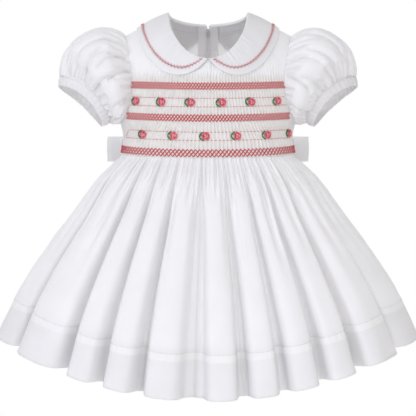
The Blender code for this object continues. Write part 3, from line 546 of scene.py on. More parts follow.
class Finish:
    """A procedural material: a Principled shader and the nodes that feed it."""

    def __init__(self, name, **sockets):
        self.made = bpy.data.materials.new(name)
        self.made.use_nodes = True
        self.tree = self.made.node_tree
        self.shader = self.tree.nodes["Principled BSDF"]
        for key, value in sockets.items():
            self.shader.inputs[key.replace("_", " ")].default_value = value

    def node(self, kind, sockets=None, **settings):
        made = self.tree.nodes.new(kind)
        for key, value in settings.items():
            setattr(made, key, value)
        for key, value in (sockets or {}).items():
            if isinstance(value, bpy.types.NodeSocket):
                self.tree.links.new(value, made.inputs[key])
            else:
                made.inputs[key].default_value = value
        return made

    def math(self, operation, first, second):
        return self.node("ShaderNodeMath", {0: first, 1: second}, operation=operation).outputs[0]

    def scaled_to(self, value, low, high, to_low=0.0, to_high=1.0):
        ranged = self.node("ShaderNodeMapRange", {"Value": value, "From Min": low, "From Max": high,
                                                  "To Min": to_low, "To Max": to_high})
        return ranged.outputs["Result"]

    def mix(self, factor, first, second):
        mixed = self.node("ShaderNodeMix", {"Factor": factor, "A": first, "B": second}, data_type="RGBA")
        return mixed.outputs["Result"]

    def value_of(self, attribute):
        return self.node("ShaderNodeAttribute", attribute_name=attribute).outputs["Fac"]

    def noise(self, scale, detail=3.0, roughness=0.5):
        place = self.node("ShaderNodeTexCoord").outputs["Object"]
        return self.node("ShaderNodeTexNoise", {"Vector": place, "Scale": scale, "Detail": detail,
                                                "Roughness": roughness}).outputs["Fac"]

    def ridges(self, uv, direction, pitch):
        """Waves across a UV map with one ridge per pitch, given in the map's own units."""
        wave_at_scale_one = 2 * math.pi / 20
        return self.node("ShaderNodeTexWave", {"Vector": uv, "Scale": wave_at_scale_one / pitch},
                         bands_direction=direction).outputs["Fac"]

    def bump(self, height, distance, strength, under=None):
        sockets = {"Height": height, "Distance": distance, "Strength": strength}
        if under is not None:
            sockets["Normal"] = under
        return self.node("ShaderNodeBump", sockets).outputs["Normal"]

    def set(self, socket, value):
        self.tree.links.new(value, self.shader.inputs[socket])

    def roughen(self, middle, spread, scale, low, high):
        """Roughness that varies a little from place to place."""
        self.set("Roughness", self.scaled_to(self.noise(scale), low, high, middle - spread, middle + spread))

    def let_light_through(self, colour, share):
        """Mix in the light that passes through thin cloth."""
        reflected = self.shader.outputs["BSDF"]
        through = self.node("ShaderNodeBsdfTranslucent", {"Color": colour}).outputs["BSDF"]
        both = self.node("ShaderNodeMixShader", {0: share, 1: reflected, 2: through})
        surface = self.tree.nodes["Material Output"].inputs["Surface"]
        self.tree.links.new(both.outputs["Shader"], surface)


def srgb(*levels):
    """A linear colour from levels of 0 to 255."""
    values = [level / 255 for level in levels]
    return (*(v / 12.92 if v <= 0.04045 else ((v + 0.055) / 1.055) ** 2.4 for v in values), 1.0)


def woven(name, light, dark, thread, bump, roughness, sheen,
          painted_smocking_shade=None, strip=None, gloss=0.4, through=0.26):
    """Plain-woven cloth: threads both ways, slubs, soft creases, painted shade and a paler tint where marked.
    """
    finish = Finish(name, Sheen_Weight=sheen, Sheen_Roughness=0.45, Specular_IOR_Level=gloss)
    uv = finish.node("ShaderNodeUVMap", uv_map="cloth").outputs["UV"]
    warp = finish.ridges(uv, "X", thread)
    weft = finish.ridges(uv, "Y", thread)
    weave = finish.math("MAXIMUM", warp, weft)
    patches = finish.noise(26.0)
    colour = finish.mix(finish.scaled_to(patches, 0.3, 0.7), light, dark)
    # painted shade: a darker, warmer white over the smocked part stands in for the shade among its pleats
    if painted_smocking_shade:
        colour = finish.mix(finish.value_of("painted_smocking_shade"), colour, painted_smocking_shade)
    if strip:
        colour = finish.mix(finish.value_of("strip"), colour, strip)
    finish.set("Base Color", colour)
    finish.roughen(roughness, 0.06, 180.0, 0.25, 0.75)
    soft = finish.bump(finish.noise(110.0, 2.0), 0.0007, 0.35)
    slubs = finish.bump(finish.noise(900.0, 2.0), 0.0002, 0.4, soft)
    finish.set("Normal", finish.bump(weave, bump, 0.6, slubs))
    finish.let_light_through(colour, through)
    return finish.made


def embroidery(name, light, dark, deep, roughness=0.55):
    """Twisted cotton thread: each stitch has its own tone, and painted shade deepens its ends where it goes
    in.
    """
    finish = Finish(name, Sheen_Weight=0.05, Sheen_Roughness=0.4, Specular_IOR_Level=0.35)
    uv = finish.node("ShaderNodeUVMap", uv_map="cloth").outputs["UV"]
    shade = finish.scaled_to(finish.value_of("shade"), -1.0, 1.0)
    colour = finish.mix(shade, light, dark)
    # painted shade: the deep colour darkens both ends of each stitch, where it dips into the cloth
    colour = finish.mix(finish.value_of("tip"), colour, deep)
    finish.set("Base Color", colour)
    finish.roughen(roughness, 0.08, 700.0, 0.2, 0.8)
    twist = finish.node("ShaderNodeMapping", {"Vector": uv, "Rotation": (0, 0, math.radians(35))})
    strands = finish.ridges(twist.outputs["Vector"], "Y", 0.34)
    finish.set("Normal", finish.bump(strands, 0.00012, 0.7))
    return finish.made


def plated(name, colour):
    """Nickel-plated die-cast metal with fine rubbed marks."""
    finish = Finish(name, Metallic=1.0)
    rubbed = finish.noise(900.0, 4.0, 0.6)
    finish.set("Base Color", finish.mix(finish.scaled_to(finish.noise(220.0), 0.3, 0.7), colour,
                                        tuple(0.82 * c for c in colour[:3]) + (1.0,)))
    finish.set("Roughness", finish.scaled_to(rubbed, 0.3, 0.7, 0.26, 0.42))
    finish.set("Normal", finish.bump(rubbed, 0.00004, 0.5))
    return finish.made


COTTON_WHITE, COTTON_SHADE = (0.9, 0.895, 0.9, 1), (0.875, 0.868, 0.872, 1)
RIBBON_WHITE, RIBBON_SHADE = (0.96, 0.957, 0.96, 1), (0.94, 0.936, 0.94, 1)
# painted shade: the darker, warmer white of the smocked part, for the shade among its pleats
PAINTED_SMOCKING_SHADE = (0.835, 0.81, 0.785, 1)
STRIP_WHITE = (0.945, 0.94, 0.935, 1)


def finishes():
    return {
        "cotton": woven("white cotton", COTTON_WHITE, COTTON_SHADE, 0.00042, 0.00006, 0.66, 0.12,
                        PAINTED_SMOCKING_SHADE, STRIP_WHITE),
        "back cotton": woven("thin white cotton", COTTON_WHITE, COTTON_SHADE, 0.00042, 0.00006, 0.66, 0.12,
                             through=0.45),
        "ribbon": woven("white sateen ribbon", RIBBON_WHITE, RIBBON_SHADE, 0.0003, 0.00003, 0.46, 0.2,
                        gloss=0.5, through=0.36),
        "tape": woven("zip tape", RIBBON_WHITE, RIBBON_SHADE, 0.0006, 0.00012, 0.8, 0.1, through=0.45),
        # each thread's third colour is the painted shade at the ends of its stitches
        "coral": embroidery("coral thread", srgb(216, 78, 84), srgb(200, 60, 68), srgb(182, 42, 52)),
        "pale coral": embroidery("pale coral thread", srgb(222, 112, 118), srgb(208, 90, 97),
                                 srgb(184, 62, 70)),
        "deep rose": embroidery("deep rose thread", srgb(186, 54, 64), srgb(166, 40, 50), srgb(140, 26, 36)),
        "rose": embroidery("rose thread", srgb(232, 120, 132), srgb(216, 92, 106), srgb(150, 26, 42)),
        "pink": embroidery("pink thread", srgb(246, 172, 180), srgb(236, 140, 152), srgb(176, 50, 66)),
        "leaf": embroidery("leaf thread", srgb(78, 138, 74), srgb(44, 100, 50), srgb(28, 66, 34)),
        "white thread": embroidery("white thread", srgb(250, 250, 252), srgb(238, 239, 243),
                                   srgb(205, 205, 208)),
        "grey thread": embroidery("hem thread", srgb(214, 216, 220), srgb(200, 202, 206),
                                  srgb(180, 182, 186)),
        "metal": plated("plated metal", (0.62, 0.62, 0.64, 1)),
    }


# ---------------------------------------------------------------- neckline, shoulders and armholes

def neckline(turn, side):
    """Neckline points: turn is 0 at the centre front or back and a quarter turn at the neck point."""
    x = NECK_HALF * np.sin(turn)
    if side < 0:
        return x, NECK_TOP - NECK_FRONT_DROP * np.maximum(np.cos(turn), 0) ** NECK_FULLNESS
    return x, NECK_TOP - NECK_BACK_DROP * np.maximum(np.cos(turn), 0)


def panel_top(side, inner_edge):
    """From the centre along the neckline and out along the shoulder: across and length of cloth."""
    turns = np.linspace(math.asin(inner_edge / NECK_HALF), math.pi / 2, 400)
    x, z = neckline(turns, side)
    neck = np.stack([x, arc_at(x, z, side)], axis=-1)
    across = np.linspace(NECK_HALF, ARMHOLE.columns["edge"][-1], 100)
    shoulder = np.stack([across, np.full(100, SHOULDER_LAP)], axis=-1)
    neck[:, 1] = np.maximum(neck[:, 1], SHOULDER_LAP)
    return neck, shoulder


def edge_across(z):
    """Where the front panel ends: the side seam, and above it the armhole."""
    return np.where(z < SIDE_SEAM.keys[-1], SIDE_SEAM.read("edge", z), ARMHOLE.read("edge", z))


def armhole_ring(side_count):
    """The armhole from the shoulder tip down the front, and up the back to the tip again."""
    z = UNDERARM + (ARMHOLE.keys[-1] - UNDERARM) * (1 - np.linspace(0, 1, 800) ** 2)
    x = ARMHOLE.read("edge", z)
    front, back = (evenly(body(x, z, side), side_count + 1) for side in (-1, 1))
    return np.concatenate([front, back[-2:0:-1]])


def upper_rows(start, top, side, steps):
    """Rows between a level row and the panel's top edge, in length of cloth over the shoulder."""
    x, z = start[:, 0], start[:, 2]
    low = np.stack([x, arc_at(x, z, side)], axis=-1)
    rows = []
    for step in steps:
        row = low + (top - low) * step
        height = shoulder_line(row[:, 0]) - np.interp(row[:, 1], ARCS[side], DROPS)
        excess = ARMHOLE.read("edge", height[-1]) - np.abs(row[-1, 0])
        row[:, 0] += np.sign(row[:, 0]) * excess * np.abs(row[:, 0] / row[-1, 0]) ** 4
        rows.append(over_shoulder(row[:, 0], row[:, 1], side))
    return rows


# ---------------------------------------------------------------- front bodice and its smocking

def front_row(height, count):
    """A level row of the front, evenly spaced from side seam to side seam."""
    edge = float(edge_across(height))
    width = float(BODY.read("half_width", height))
    angles = np.linspace(-1, 1, 801) * math.asin(min(edge / width, 1))
    return evenly(body(width * np.sin(angles), height, -1), count)


def front_top_edge(columns):
    """The plain top's upper edge from shoulder tip to shoulder tip: across and length of cloth."""
    neck, shoulder = panel_top(-1, 0.0)
    half = (columns - 1) // 2
    neck_count = round(half * 0.7)
    outer = evenly(shoulder, half - neck_count + 1)[1:]
    half_top = np.concatenate([evenly(neck, neck_count + 1), outer])
    return np.concatenate([(half_top * (-1, 1))[:0:-1], half_top])


def front_bodice(finish):
    columns = PLEATS * PLEAT_SAMPLES + 1
    heights = np.linspace(WAIST + WAIST_LAP, YOKE, 128)
    lower = np.array([front_row(z, columns) for z in heights])
    upper = np.array(upper_rows(lower[-1], front_top_edge(columns), -1, np.linspace(0, 1, 47)[1:]))
    grid = np.concatenate([lower, upper])
    z = grid[..., 2]
    level_z = z - LINE_RISE * (grid[..., 0] / 100) ** 2
    draw = np.random.default_rng(11)
    place = np.arange(columns) / PLEAT_SAMPLES
    pleat = np.minimum(place.astype(int), PLEATS - 1)
    fullness = draw.uniform(0.82, 1.12, PLEATS)[pleat]
    above = np.concatenate([np.zeros(len(lower)), np.linspace(0, 1, 47)[1:]])[:, None]
    above = above * np.linalg.norm(grid[-1] - grid[len(lower) - 1], axis=-1)
    let_out = np.interp(place, np.arange(PLEATS + 1), draw.uniform(7.0, 21.0, PLEATS + 1))
    fade = 1 - smooth_step(above / let_out, 0.1, 1)
    profile = PLEAT_CREST - (PLEAT_CREST - PLEAT_VALLEY) * np.abs(np.cos(math.pi * place)) ** 2.6
    side_fade = np.minimum(np.minimum(place, PLEATS - place) / 1.5, 1)
    stand = SMOCKING.read("stand", level_z) * fullness * fade * side_fade
    puff = SMOCKING.read("puff", level_z) * side_fade
    loose = 0.8 * noise(place * 2.6, above * 0.25, 21, 5, 17) * (above > 0) * np.exp(-above / 26)
    stand = stand * (1 + 0.45 * noise(place * 4.1, z, 22, 5, 16))
    mask, diamonds = np.zeros(z.shape), np.zeros(z.shape)
    for low, high in BANDS:
        inside = within(level_z, (low - 0.8, low + 0.2), (high - 0.2, high + 0.8))
        level = (level_z - low - BAND_INSET) / (high - low - 2 * BAND_INSET) * (BAND_LEVELS - 1)
        mask = mask + inside
        diamonds = diamonds + inside * np.cos(math.pi * level)
    lattice = 0.2 * mask + diamonds * np.cos(2 * math.pi * place)
    relief = profile * stand * (1 - mask) + lattice * side_fade
    points = moved_out(grid, relief + puff + loose)
    sway = 0.5 * noise(place * 4.1, z * 0.8, 23, 5, 15) * (1 - mask) * side_fade * fade
    points = points + np.gradient(grid, axis=1) * sway[..., None]
    # marks the smocked part below the yoke, where the cotton finish paints shade among the pleats
    painted_smocking_shade = 1 - smooth_step(z, YOKE - 3, YOKE + 6)
    return cloth("front_bodice_cloth", points, finish["cotton"], shades={"painted_smocking_shade": painted_smocking_shade})


def on_smocking(share, height):
    """Points on the pleats' crests: share is counted in pleats from the wearer's right, heights are at the
    centre front; each line rises a little towards the sides."""
    share, height = np.broadcast_arrays(np.asarray(share, float), np.asarray(height, float))
    points = np.empty(share.shape + (3,))
    for level in np.unique(height):
        here = height == level
        row = front_row(level, 4 * PLEATS + 1)
        index = np.clip(share[here], 0, PLEATS) * 4
        x = np.interp(index, np.arange(4 * PLEATS + 1), row[:, 0])
        z = level + LINE_RISE * (x / 100) ** 2
        points[here] = body(x, z, -1)
    return points


def out_of_body(points):
    """Unit normals of the front of the body form at given points."""
    x, z = points[..., 0], points[..., 2]
    limit = BODY.read("half_width", z) - 0.6
    x = np.clip(x, -limit, limit)
    across = body(x + 0.5, z, -1) - body(x - 0.5, z, -1)
    up = body(x, z + 0.5, -1) - body(x, z - 0.5, -1)
    return unit(np.cross(across, up))


def smocking_bands(finish):
    """Trellis bands: bold stitches slanting one way and fine ones the other, each node held by a short
    stitch."""
    slants = {1: ([], []), -1: ([], [])}
    knots = []
    for low, high in BANDS:
        levels = np.linspace(low + BAND_INSET, high - BAND_INSET, BAND_LEVELS)
        for j in range(BAND_LEVELS):
            i = np.arange(j % 2 + 1, 2 * PLEATS, 2)
            here = on_smocking(i / 2, levels[j])
            knots.append(here)
            if j < BAND_LEVELS - 1:
                for way, (starts, ends) in slants.items():
                    starts.append(here)
                    ends.append(on_smocking((i + way) / 2, levels[j + 1]))
    groups = []
    for (starts, ends), radius, lift, slot in zip(slants.values(), (0.82, 0.5), (0.85, 1.05), (0, 1)):
        starts, ends = np.concatenate(starts), np.concatenate(ends)
        outs = out_of_body((starts + ends) / 2)
        made = stitches(starts + outs * lift, ends + outs * lift, outs, radius, bow=0.3, rings=5, sides=5)
        groups.append((made, slot))
    knots = np.concatenate(knots)
    outs = out_of_body(knots)
    half = np.cross((0, 0, 1.0), outs) * 0.6
    held = stitches(knots - half + outs * 1.0, knots + half + outs * 1.0, outs, 0.42, bow=0.4, rings=4,
                    sides=5)
    # the node stitches take the deep rose thread: partly denser thread, partly painted shade where the
    # threads cross
    materials = [finish["coral"], finish["coral"], finish["deep rose"]]
    return threads("smocking_bands", groups + [(held, 2)], materials, 31)


def cable_lines(finish):
    """Thin lines of slanting stitches, one to a pleat, closed at the ends of the lower row of roses."""
    groups = []
    for number, height in enumerate(LINES):
        first, last = (1.2, PLEATS - 1.2) if number < 2 else (3.4, PLEATS - 3.4)
        share = np.arange(first, last, 1.0)
        tilt = 0.45 if number % 2 else -0.45
        starts = on_smocking(share, height) - (0, 0, tilt)
        ends = on_smocking(share + 0.82, height) + (0, 0, tilt)
        groups.append((starts, ends))
    low, high = LINES[3], LINES[2]
    for share in (3.0, PLEATS - 3.0):
        rungs = np.linspace(low + 0.8, high - 0.8, 7)
        starts = on_smocking(np.full(6, share), rungs[:-1])
        ends = on_smocking(np.full(6, share), rungs[1:])
        groups.append((starts, ends))
    starts, ends = end_to_end(groups)
    outs = out_of_body((starts + ends) / 2)
    made = stitches(starts + outs * 0.75, ends + outs * 0.75, outs, 0.42, bow=0.3, rings=6, sides=5)
    return threads("smocking_lines", [(made, 0)], [finish["pale coral"]], 32)


def arc_path(centre, radius, first, last, count, wide=1.0):
    """Points of an arc in the flat plane of the embroidery."""
    turn = np.radians(np.linspace(first, last, count))
    return np.stack([centre[0] + radius * wide * np.cos(turn), centre[1] + radius * np.sin(turn)], axis=-1)


def onto_front(flat, lift, x, z, turn=0.0):
    """Lay flat points (across, up) on the front of the bodice round a place, at a height over the cloth."""
    cos, sin = math.cos(turn), math.sin(turn)
    across = flat[..., 0] * cos - flat[..., 1] * sin
    up = flat[..., 0] * sin + flat[..., 1] * cos
    fine = np.linspace(-1, 1, 401) * (BODY.read("half_width", z) - 0.5)
    run = lengths(body(fine, z, -1))
    place_x = np.interp(np.interp(x, fine, run) + across, run, fine)
    place_z = z + LINE_RISE * (x / 100) ** 2 + up
    points = body(place_x, place_z, -1)
    return points + out_of_body(points) * np.asarray(lift)[..., None]


def roses(finish):
    """Bullion roses: five outer petals, an inner ring of three and a centre coil, with two leaves beside
    them."""
    draw = np.random.default_rng(41)
    count = 26
    groups = {"rose": [], "pink": [], "leaf": [], "deep rose": []}
    for height, places in ROSE_ROWS:
        for x in places:
            spin = draw.uniform(-0.15, 0.15)
            # two coils of deep rose thread under the petals: partly a darker thread of the rose, partly
            # painted shade in the gaps between petals
            for radius in (1.6, 3.4):
                path = arc_path((0, 0), radius, 0, 345, count)
                groups["deep rose"].append((path, np.full(count, 1.1), 1.1, x, height, spin))
            for petal in range(5):
                first = 150 - 72 * petal + draw.uniform(-6, 6)
                path = arc_path((0, 0), 4.0 + draw.uniform(-0.2, 0.2), first, first - 82, count, 1.02)
                path *= np.linspace(0.93, 1.08, count)[:, None]
                rise = 1.75 + 0.25 * np.sin(np.linspace(0, math.pi, count)) + 0.1 * (petal % 2)
                groups["rose"].append((path, rise, 1.2, x, height, spin))
            for petal in range(3):
                first = 60 - 120 * petal + draw.uniform(-8, 8)
                path = arc_path((0.1, 0), 1.9, first, first - 118, count)
                rise = 2.3 + 0.2 * np.sin(np.linspace(0, math.pi, count))
                groups["pink"].append((path, rise, 0.85, x, height, spin))
            coil = arc_path((0.1, 0), 0.5, 0, 330, count)
            groups["pink"].append((coil, np.full(count, 2.6), 0.6, x, height, spin))
            for way in (-1, 1):
                t = np.linspace(0, 1, count)
                path = np.stack([-8.3 + 5.3 * t, way * (0.1 + 5.4 * t)], axis=-1)
                path[:, 0] -= 0.9 * np.sin(math.pi * t)
                groups["leaf"].append((path, np.full(count, 1.2) + 0.3 * np.sin(math.pi * t), 1.15, x,
                                       height, spin))
    made = []
    for slot, kind in enumerate(groups):
        paths, radii, outs = [], [], []
        for path, rise, radius, x, height, spin in groups[kind]:
            points = onto_front(path, rise, x, height, spin)
            paths.append(points)
            outs.append(out_of_body(points))
            end = np.linspace(0, 1, count)
            radii.append(radius * np.clip(np.sin(math.pi * np.clip(end, 0.02, 0.98)), 0, 1) ** 0.35)
        tube = tubes(np.array(paths), np.array(outs), np.array(radii), 8, 0.8, winding=(0.95, 0.07))
        made.append((tube, slot))
    return threads("roses", made, [finish[kind] for kind in groups], 42)


# ---------------------------------------------------------------- backs, zip and neck binding

def slit_edge(z):
    """Half the gap between the backs: closed along the zip, parted where the slider passes through."""
    low, high = ZIP_PART
    parted = np.clip((z - low) / (high - low), 0, 1)
    return BACK_SLIT + (SLIDER_SLIT - BACK_SLIT) * parted


def back_outer(main=60, pits=25, low_rows=44, top_rows=44):
    """The wearer's left back: columns from the side seam to the centre back, rows from the waist up."""
    places = np.linspace(0, 6, pits)
    pit = UNDERARM_DIP.read("height", places)
    wide = BODY.read("half_width", pit)
    turn = np.arcsin(np.minimum(ARMHOLE.read("edge", pit) / wide, 1))
    pit_turn = np.where(places > 3, math.pi - turn, turn)
    slit_turn = math.asin(BACK_SLIT / wide[0])
    level_turn = np.concatenate([np.linspace(slit_turn, pit_turn[0], main + 1), pit_turn[1:]])
    level_z = np.concatenate([np.full(main + 1, pit[0]), pit[1:]])
    waist_wide = BODY.columns["half_width"][0]
    waist_edge = math.asin(SIDE_SEAM.columns["edge"][0] / waist_wide)
    waist_turn = np.concatenate([np.linspace(BACK_SLIT / waist_wide, SIDE_TURN, main + 1),
                                 np.linspace(SIDE_TURN, math.pi - waist_edge, pits)[1:]])
    rows = []
    for step in np.linspace(0, 1, low_rows):
        z = blend(WAIST + 0.05, level_z, step)
        turn = blend(waist_turn, level_turn, step)
        width = BODY.read("half_width", z)
        x = width * np.sin(turn)
        x[-1] = min(float(SIDE_SEAM.read("edge", min(z[-1], SIDE_SEAM.keys[-1]))), width[-1] - 0.01)
        rows.append(np.where((turn > math.pi / 2)[:, None], body(x, z, -1), body(x, z, 1)))
    lower = np.array(rows)
    neck, shoulder = panel_top(1, SLIDER_SLIT)
    neck_count = round(main * 0.55)
    top = np.concatenate([evenly(neck, neck_count + 1), evenly(shoulder, main - neck_count + 1)[1:]])
    upper = np.array(upper_rows(lower[-1, :main + 1], top, 1, np.linspace(0, 1, top_rows + 1)[1:]))
    for row in upper:
        row[0] = body(slit_edge(row[0, 2]), row[0, 2], 1)
    unused = np.repeat(upper[:, -1:], pits - 1, axis=1)
    grid = np.concatenate([lower, np.concatenate([upper, unused], axis=1)])
    return grid[:, ::-1], len(lower), pits - 1


def back_bodice(name, side, seed, finish):
    """One back: plain cloth with soft pulls down from the yoke and towards the underarm."""
    grid, lower_rows, pit_columns = back_outer()
    x, z = grid[..., 0], grid[..., 2]
    near_zip = smooth_step(x, 0.5, 14)
    pulls = 0.55 * noise(x, z * 0.25, seed, 16, 45) + 0.35 * noise(x * 0.35, z, seed + 1, 20, 60)
    grid = moved_out(grid, pulls * near_zip - 0.45 * np.exp(-((x - 5.5) / 0.8) ** 2) * (z < 0))
    keep = np.ones((len(grid) - 1, grid.shape[1] - 1), bool)
    keep[lower_rows - 1:, :pit_columns] = False
    if side < 0:
        grid, keep = mirrored(grid), keep[:, ::-1]
    return cloth(name, grid, finish["back cotton"], keep=keep)


def strip_round_neck(start_depth, end_depth, front_edge, back_edge, columns, rows):
    """A strip of cloth below the neckline on the wearer's left, centre back to centre front."""
    places = []
    for side, edge, count in ((1, back_edge, columns // 3), (-1, front_edge, columns - columns // 3)):
        turns = np.linspace(math.asin(edge / NECK_HALF), math.pi / 2, 120)
        x, z = neckline(turns, side)
        run = evenly(np.stack([x, arc_at(x, z, side) * side, turns], axis=-1), count + 1)
        places.append(run if side > 0 else run[::-1][1:])
    run = np.concatenate(places)
    side = np.where(run[:, 1] >= 0, 1, -1)
    grid = []
    for depth in np.linspace(end_depth, start_depth, rows):
        x = run[:, 0] + depth * np.sin(run[:, 2])
        arc = run[:, 1] + side * depth * np.cos(run[:, 2])
        grid.append(on_both_sides(x, arc))
    return np.array(grid)[:, ::-1]


def on_both_sides(x, arc):
    """Points of the body form where a length of cloth counts from the shoulder line: back +, front -."""
    behind = over_shoulder(x, np.maximum(arc, 0), 1)
    before = over_shoulder(x, np.maximum(-arc, 0), -1)
    return np.where((arc >= 0)[..., None], behind, before)


def neck_binding(finish):
    half = strip_round_neck(0.2, 12.0, 0.001, 14.6, 150, 14)
    whole = np.concatenate([mirrored(half)[:, :-1], half], axis=1)
    rows = len(whole)
    crease = 0.3 * noise(np.arange(whole.shape[1]) * 1.3, np.arange(rows)[:, None] * 0.9, 61, 7, 26)
    outer = moved_out(whole, crease * np.linspace(1, 0.3, rows)[:, None] - 1.5)
    grid = band_of(outer, 0.9)
    zeros = np.zeros(grid.shape[:2])
    piece = cloth("neck_binding_cloth", grid, finish["back cotton"], closed_rows=True,
                  shades={"painted_smocking_shade": zeros, "strip": zeros})
    return piece


def binding_stitches(finish):
    """A dashed line of machine stitches along the binding's lower edge, seen inside the neck."""
    half = strip_round_neck(9.4, 9.8, 0.001, 15.5, 320, 2)
    line = np.concatenate([mirrored(half)[0, :-1], half[0]])
    upper = np.concatenate([mirrored(half)[1, :-1], half[1]])
    grid = moved_out(np.array([line, upper]), -2.55)
    path = evenly(grid[0], round(lengths(grid[0])[-1] / 1.1))
    outs = -np.array([np.interp(np.linspace(0, 1, len(path)), np.linspace(0, 1, len(line)), column)
                      for column in normals_of(grid)[0].T]).T
    starts, ends = path[:-1:2], path[1::2][:len(path[:-1:2])]
    starts = starts[:len(ends)]
    made = stitches(starts, ends * 1.12 - starts * 0.12, outs[:-1:2][:len(ends)], 0.28, bow=0.3, rings=5)
    return threads("binding_stitches", [(made, 0)], [finish["grey thread"]], 62)


def zip_tape(name, side, finish):
    """A flat tape inside the back, a little uneven, with rounded edges."""
    heights = np.concatenate([np.linspace(WAIST + 2, -40, 60),
                              np.linspace(-38, NECK_TOP - NECK_BACK_DROP - 0.4, 24)])
    across = np.linspace(*TAPE_EDGES, 20)
    grid = np.array([body(across, z, 1) for z in heights])[:, ::-1]
    grid = moved_out(grid, -1.8 + 0.12 * noise(across[::-1][None], heights[:, None], 65, 14, 50))
    grid = on_side(grid, side)
    turned = grid.transpose(1, 0, 2)[:, ::-1]
    return cloth(name, band_of(turned, 0.8), finish["tape"], closed_rows=True)


def zip_teeth(finish):
    """The moulded coil: short loops from each tape that meet in the middle, from under the slider to the
    waist."""
    heights = np.arange(WAIST + 4, ZIP_TOP - 5, 1.25)
    groups = []
    for side in (-1, 1):
        z = heights + 0.31 * side
        outer = body(side * 3.4, z, 1) + (0, -2.25, 0)
        inner = body(-side * 0.55, z, 1) + (0, -2.25, 0)
        groups.append((outer, inner))
    starts, ends = end_to_end(groups)
    paths = blend(starts[:, None], ends[:, None], np.linspace(0, 1, 4)[:, None])
    made = tubes(paths, np.array([0, -1.0, 0]), 0.42, 6, 1.15)
    return threads("zip_teeth", [(made, 0)], [finish["white thread"]], 66)


# ---------------------------------------------------------------- collar

def collar_columns(front_count, back_count):
    """The collar laid flat, from centre front over the shoulder to centre back: its neck edge and outer edge,
    each as across and length of cloth from the shoulder line (front negative)."""
    necks, edges = [], []
    for side, table, inner, count in ((-1, COLLAR_FRONT, 0.5, front_count),
                                      (1, COLLAR_BACK, 3.5, back_count)):
        turns = np.linspace(math.asin(inner / NECK_HALF), math.pi / 2, 300)
        neck_x, neck_z = neckline(turns, side)
        neck = np.stack([neck_x, side * arc_at(neck_x, neck_z, side)], axis=-1)
        share = np.linspace(0, 1, 300)
        edge_x = table.read("across", share)
        edge = np.stack([edge_x, side * arc_at(edge_x, table.read("height", share), side)], axis=-1)
        if side < 0:
            necks.append(evenly(neck, count))
            edges.append(evenly(edge, count))
        else:
            necks.append(evenly(neck[::-1], count)[1:])
            edges.append(evenly(edge, count)[1:])
    return np.concatenate(necks), np.concatenate(edges)


def collar_lift(share):
    return COLLAR_SOLID + SEAM + COLLAR_RISE.read("rise", share)


def collar(name, side, seed, finish):
    """Two layers turned at the outer edge, rolled over the neckline and caught inside it."""
    neck, edge = collar_columns(110, 64)
    width = np.linalg.norm(edge - neck, axis=-1)
    way = (edge - neck) / np.maximum(width, 0.5)[:, None]
    columns = len(neck)
    share = 1 - np.concatenate([[0, 0.004, 0.012, 0.024, 0.036, 0.05, 0.075], np.linspace(0.1, 1, 22)])
    along = lengths(edge)
    wave = 0.4 * noise(along[None], share[:, None] * 34, seed, 24, 90)
    pulls = 1.0 * noise(along[None], share[:, None] * 5, seed + 1, 6, 15) * np.exp(-share[:, None] / 0.24)
    pulls = pulls * smooth_step(-along, -150, -40)
    crease = -0.22 * np.exp(-(((1 - share[:, None]) * width - 1.9) / 0.6) ** 2)
    top = collar_lift(share)[:, None] + (wave + pulls) * smooth_step(1 - share, 0.02, 0.3)[:, None] + crease
    thin = COLLAR_THICK * np.sqrt(np.clip(1 - (1 - np.minimum((1 - share) * width.mean() / 0.7, 1)) ** 2, 0,
                                          1))
    thin = np.maximum(thin, 0.02)[:, None]
    rows = [(share[k] * width, top[k] - (COLLAR_THICK - thin[k]) / 2) for k in range(len(share))]
    under = [(share[k] * width, top[k] - (COLLAR_THICK + thin[k]) / 2) for k in range(len(share) - 1, 0, -1)]
    middle, reach = -0.45, float(top[-1].mean()) + 0.45
    for angle in np.linspace(0, math.pi, 12)[1:]:
        rows.append((np.full(columns, -1.3 * math.sin(angle)),
                     np.full(columns, middle + reach * math.cos(angle))))
    inside = middle - reach
    rows.append((np.full(columns, 0.9), np.full(columns, inside)))
    rows.append((np.full(columns, 0.9), np.full(columns, inside + 0.7)))
    under = [(np.full(columns, 0.2), np.full(columns, inside + 1.0))] + under
    points = []
    for out, lift in rows + under:
        flat = neck + way * out[:, None]
        base = on_both_sides(flat[:, 0], flat[:, 1])
        points.append((base, lift))
    bases = np.array([base for base, _ in points])
    lifts = np.array([lift for _, lift in points])
    outs = collar_outs(neck, way, np.array([out for out, _ in rows + under]))
    grid = bases + outs * lifts[..., None]
    grid[..., 0] = np.maximum(grid[..., 0], 0.15)
    grid = on_side(grid, side)
    zeros = np.zeros(grid.shape[:2])
    piece = cloth(name, grid, finish["cotton"], closed_rows=True, shades={"painted_smocking_shade": zeros, "strip": zeros})
    return piece


def collar_outs(neck, way, out):
    """Unit normals of the body form under the collar, at a distance from the neck edge along each column."""
    out = np.maximum(out, 0.0)

    def point(across, down):
        flat = neck + way * (out + down)[..., None]
        flat = flat + np.stack([way[:, 1], -way[:, 0]], axis=-1) * across
        return on_both_sides(flat[..., 0], flat[..., 1])

    return unit(np.cross(point(-0.6, 0) - point(0.6, 0), point(0, -0.6) - point(0, 0.6)))


def collar_path(inset, spacing):
    """Points on the collar at a distance inside its outer edge, evenly spaced, with the cloth's normal
    there."""
    neck, edge = collar_columns(220, 130)
    width = np.linalg.norm(edge - neck, axis=-1)
    way = (edge - neck) / np.maximum(width, 0.5)[:, None]
    run = unit(np.gradient(edge, axis=0))
    crossing = np.abs(way[:, 0] * run[:, 1] - way[:, 1] * run[:, 0])
    out = width - inset / np.maximum(crossing, 0.2)
    here = out > 0.4
    flat = neck + way * out[:, None]
    share = out / np.maximum(width, 1e-6)
    outs = collar_outs(neck, way, out[None])[0]
    points = on_both_sides(flat[:, 0], flat[:, 1]) + outs * collar_lift(share)[:, None]
    points, outs = points[here], outs[here]
    length = lengths(points)
    places = np.arange(0, length[-1], spacing)
    return read_along(points, length, places), unit(read_along(outs, length, places))


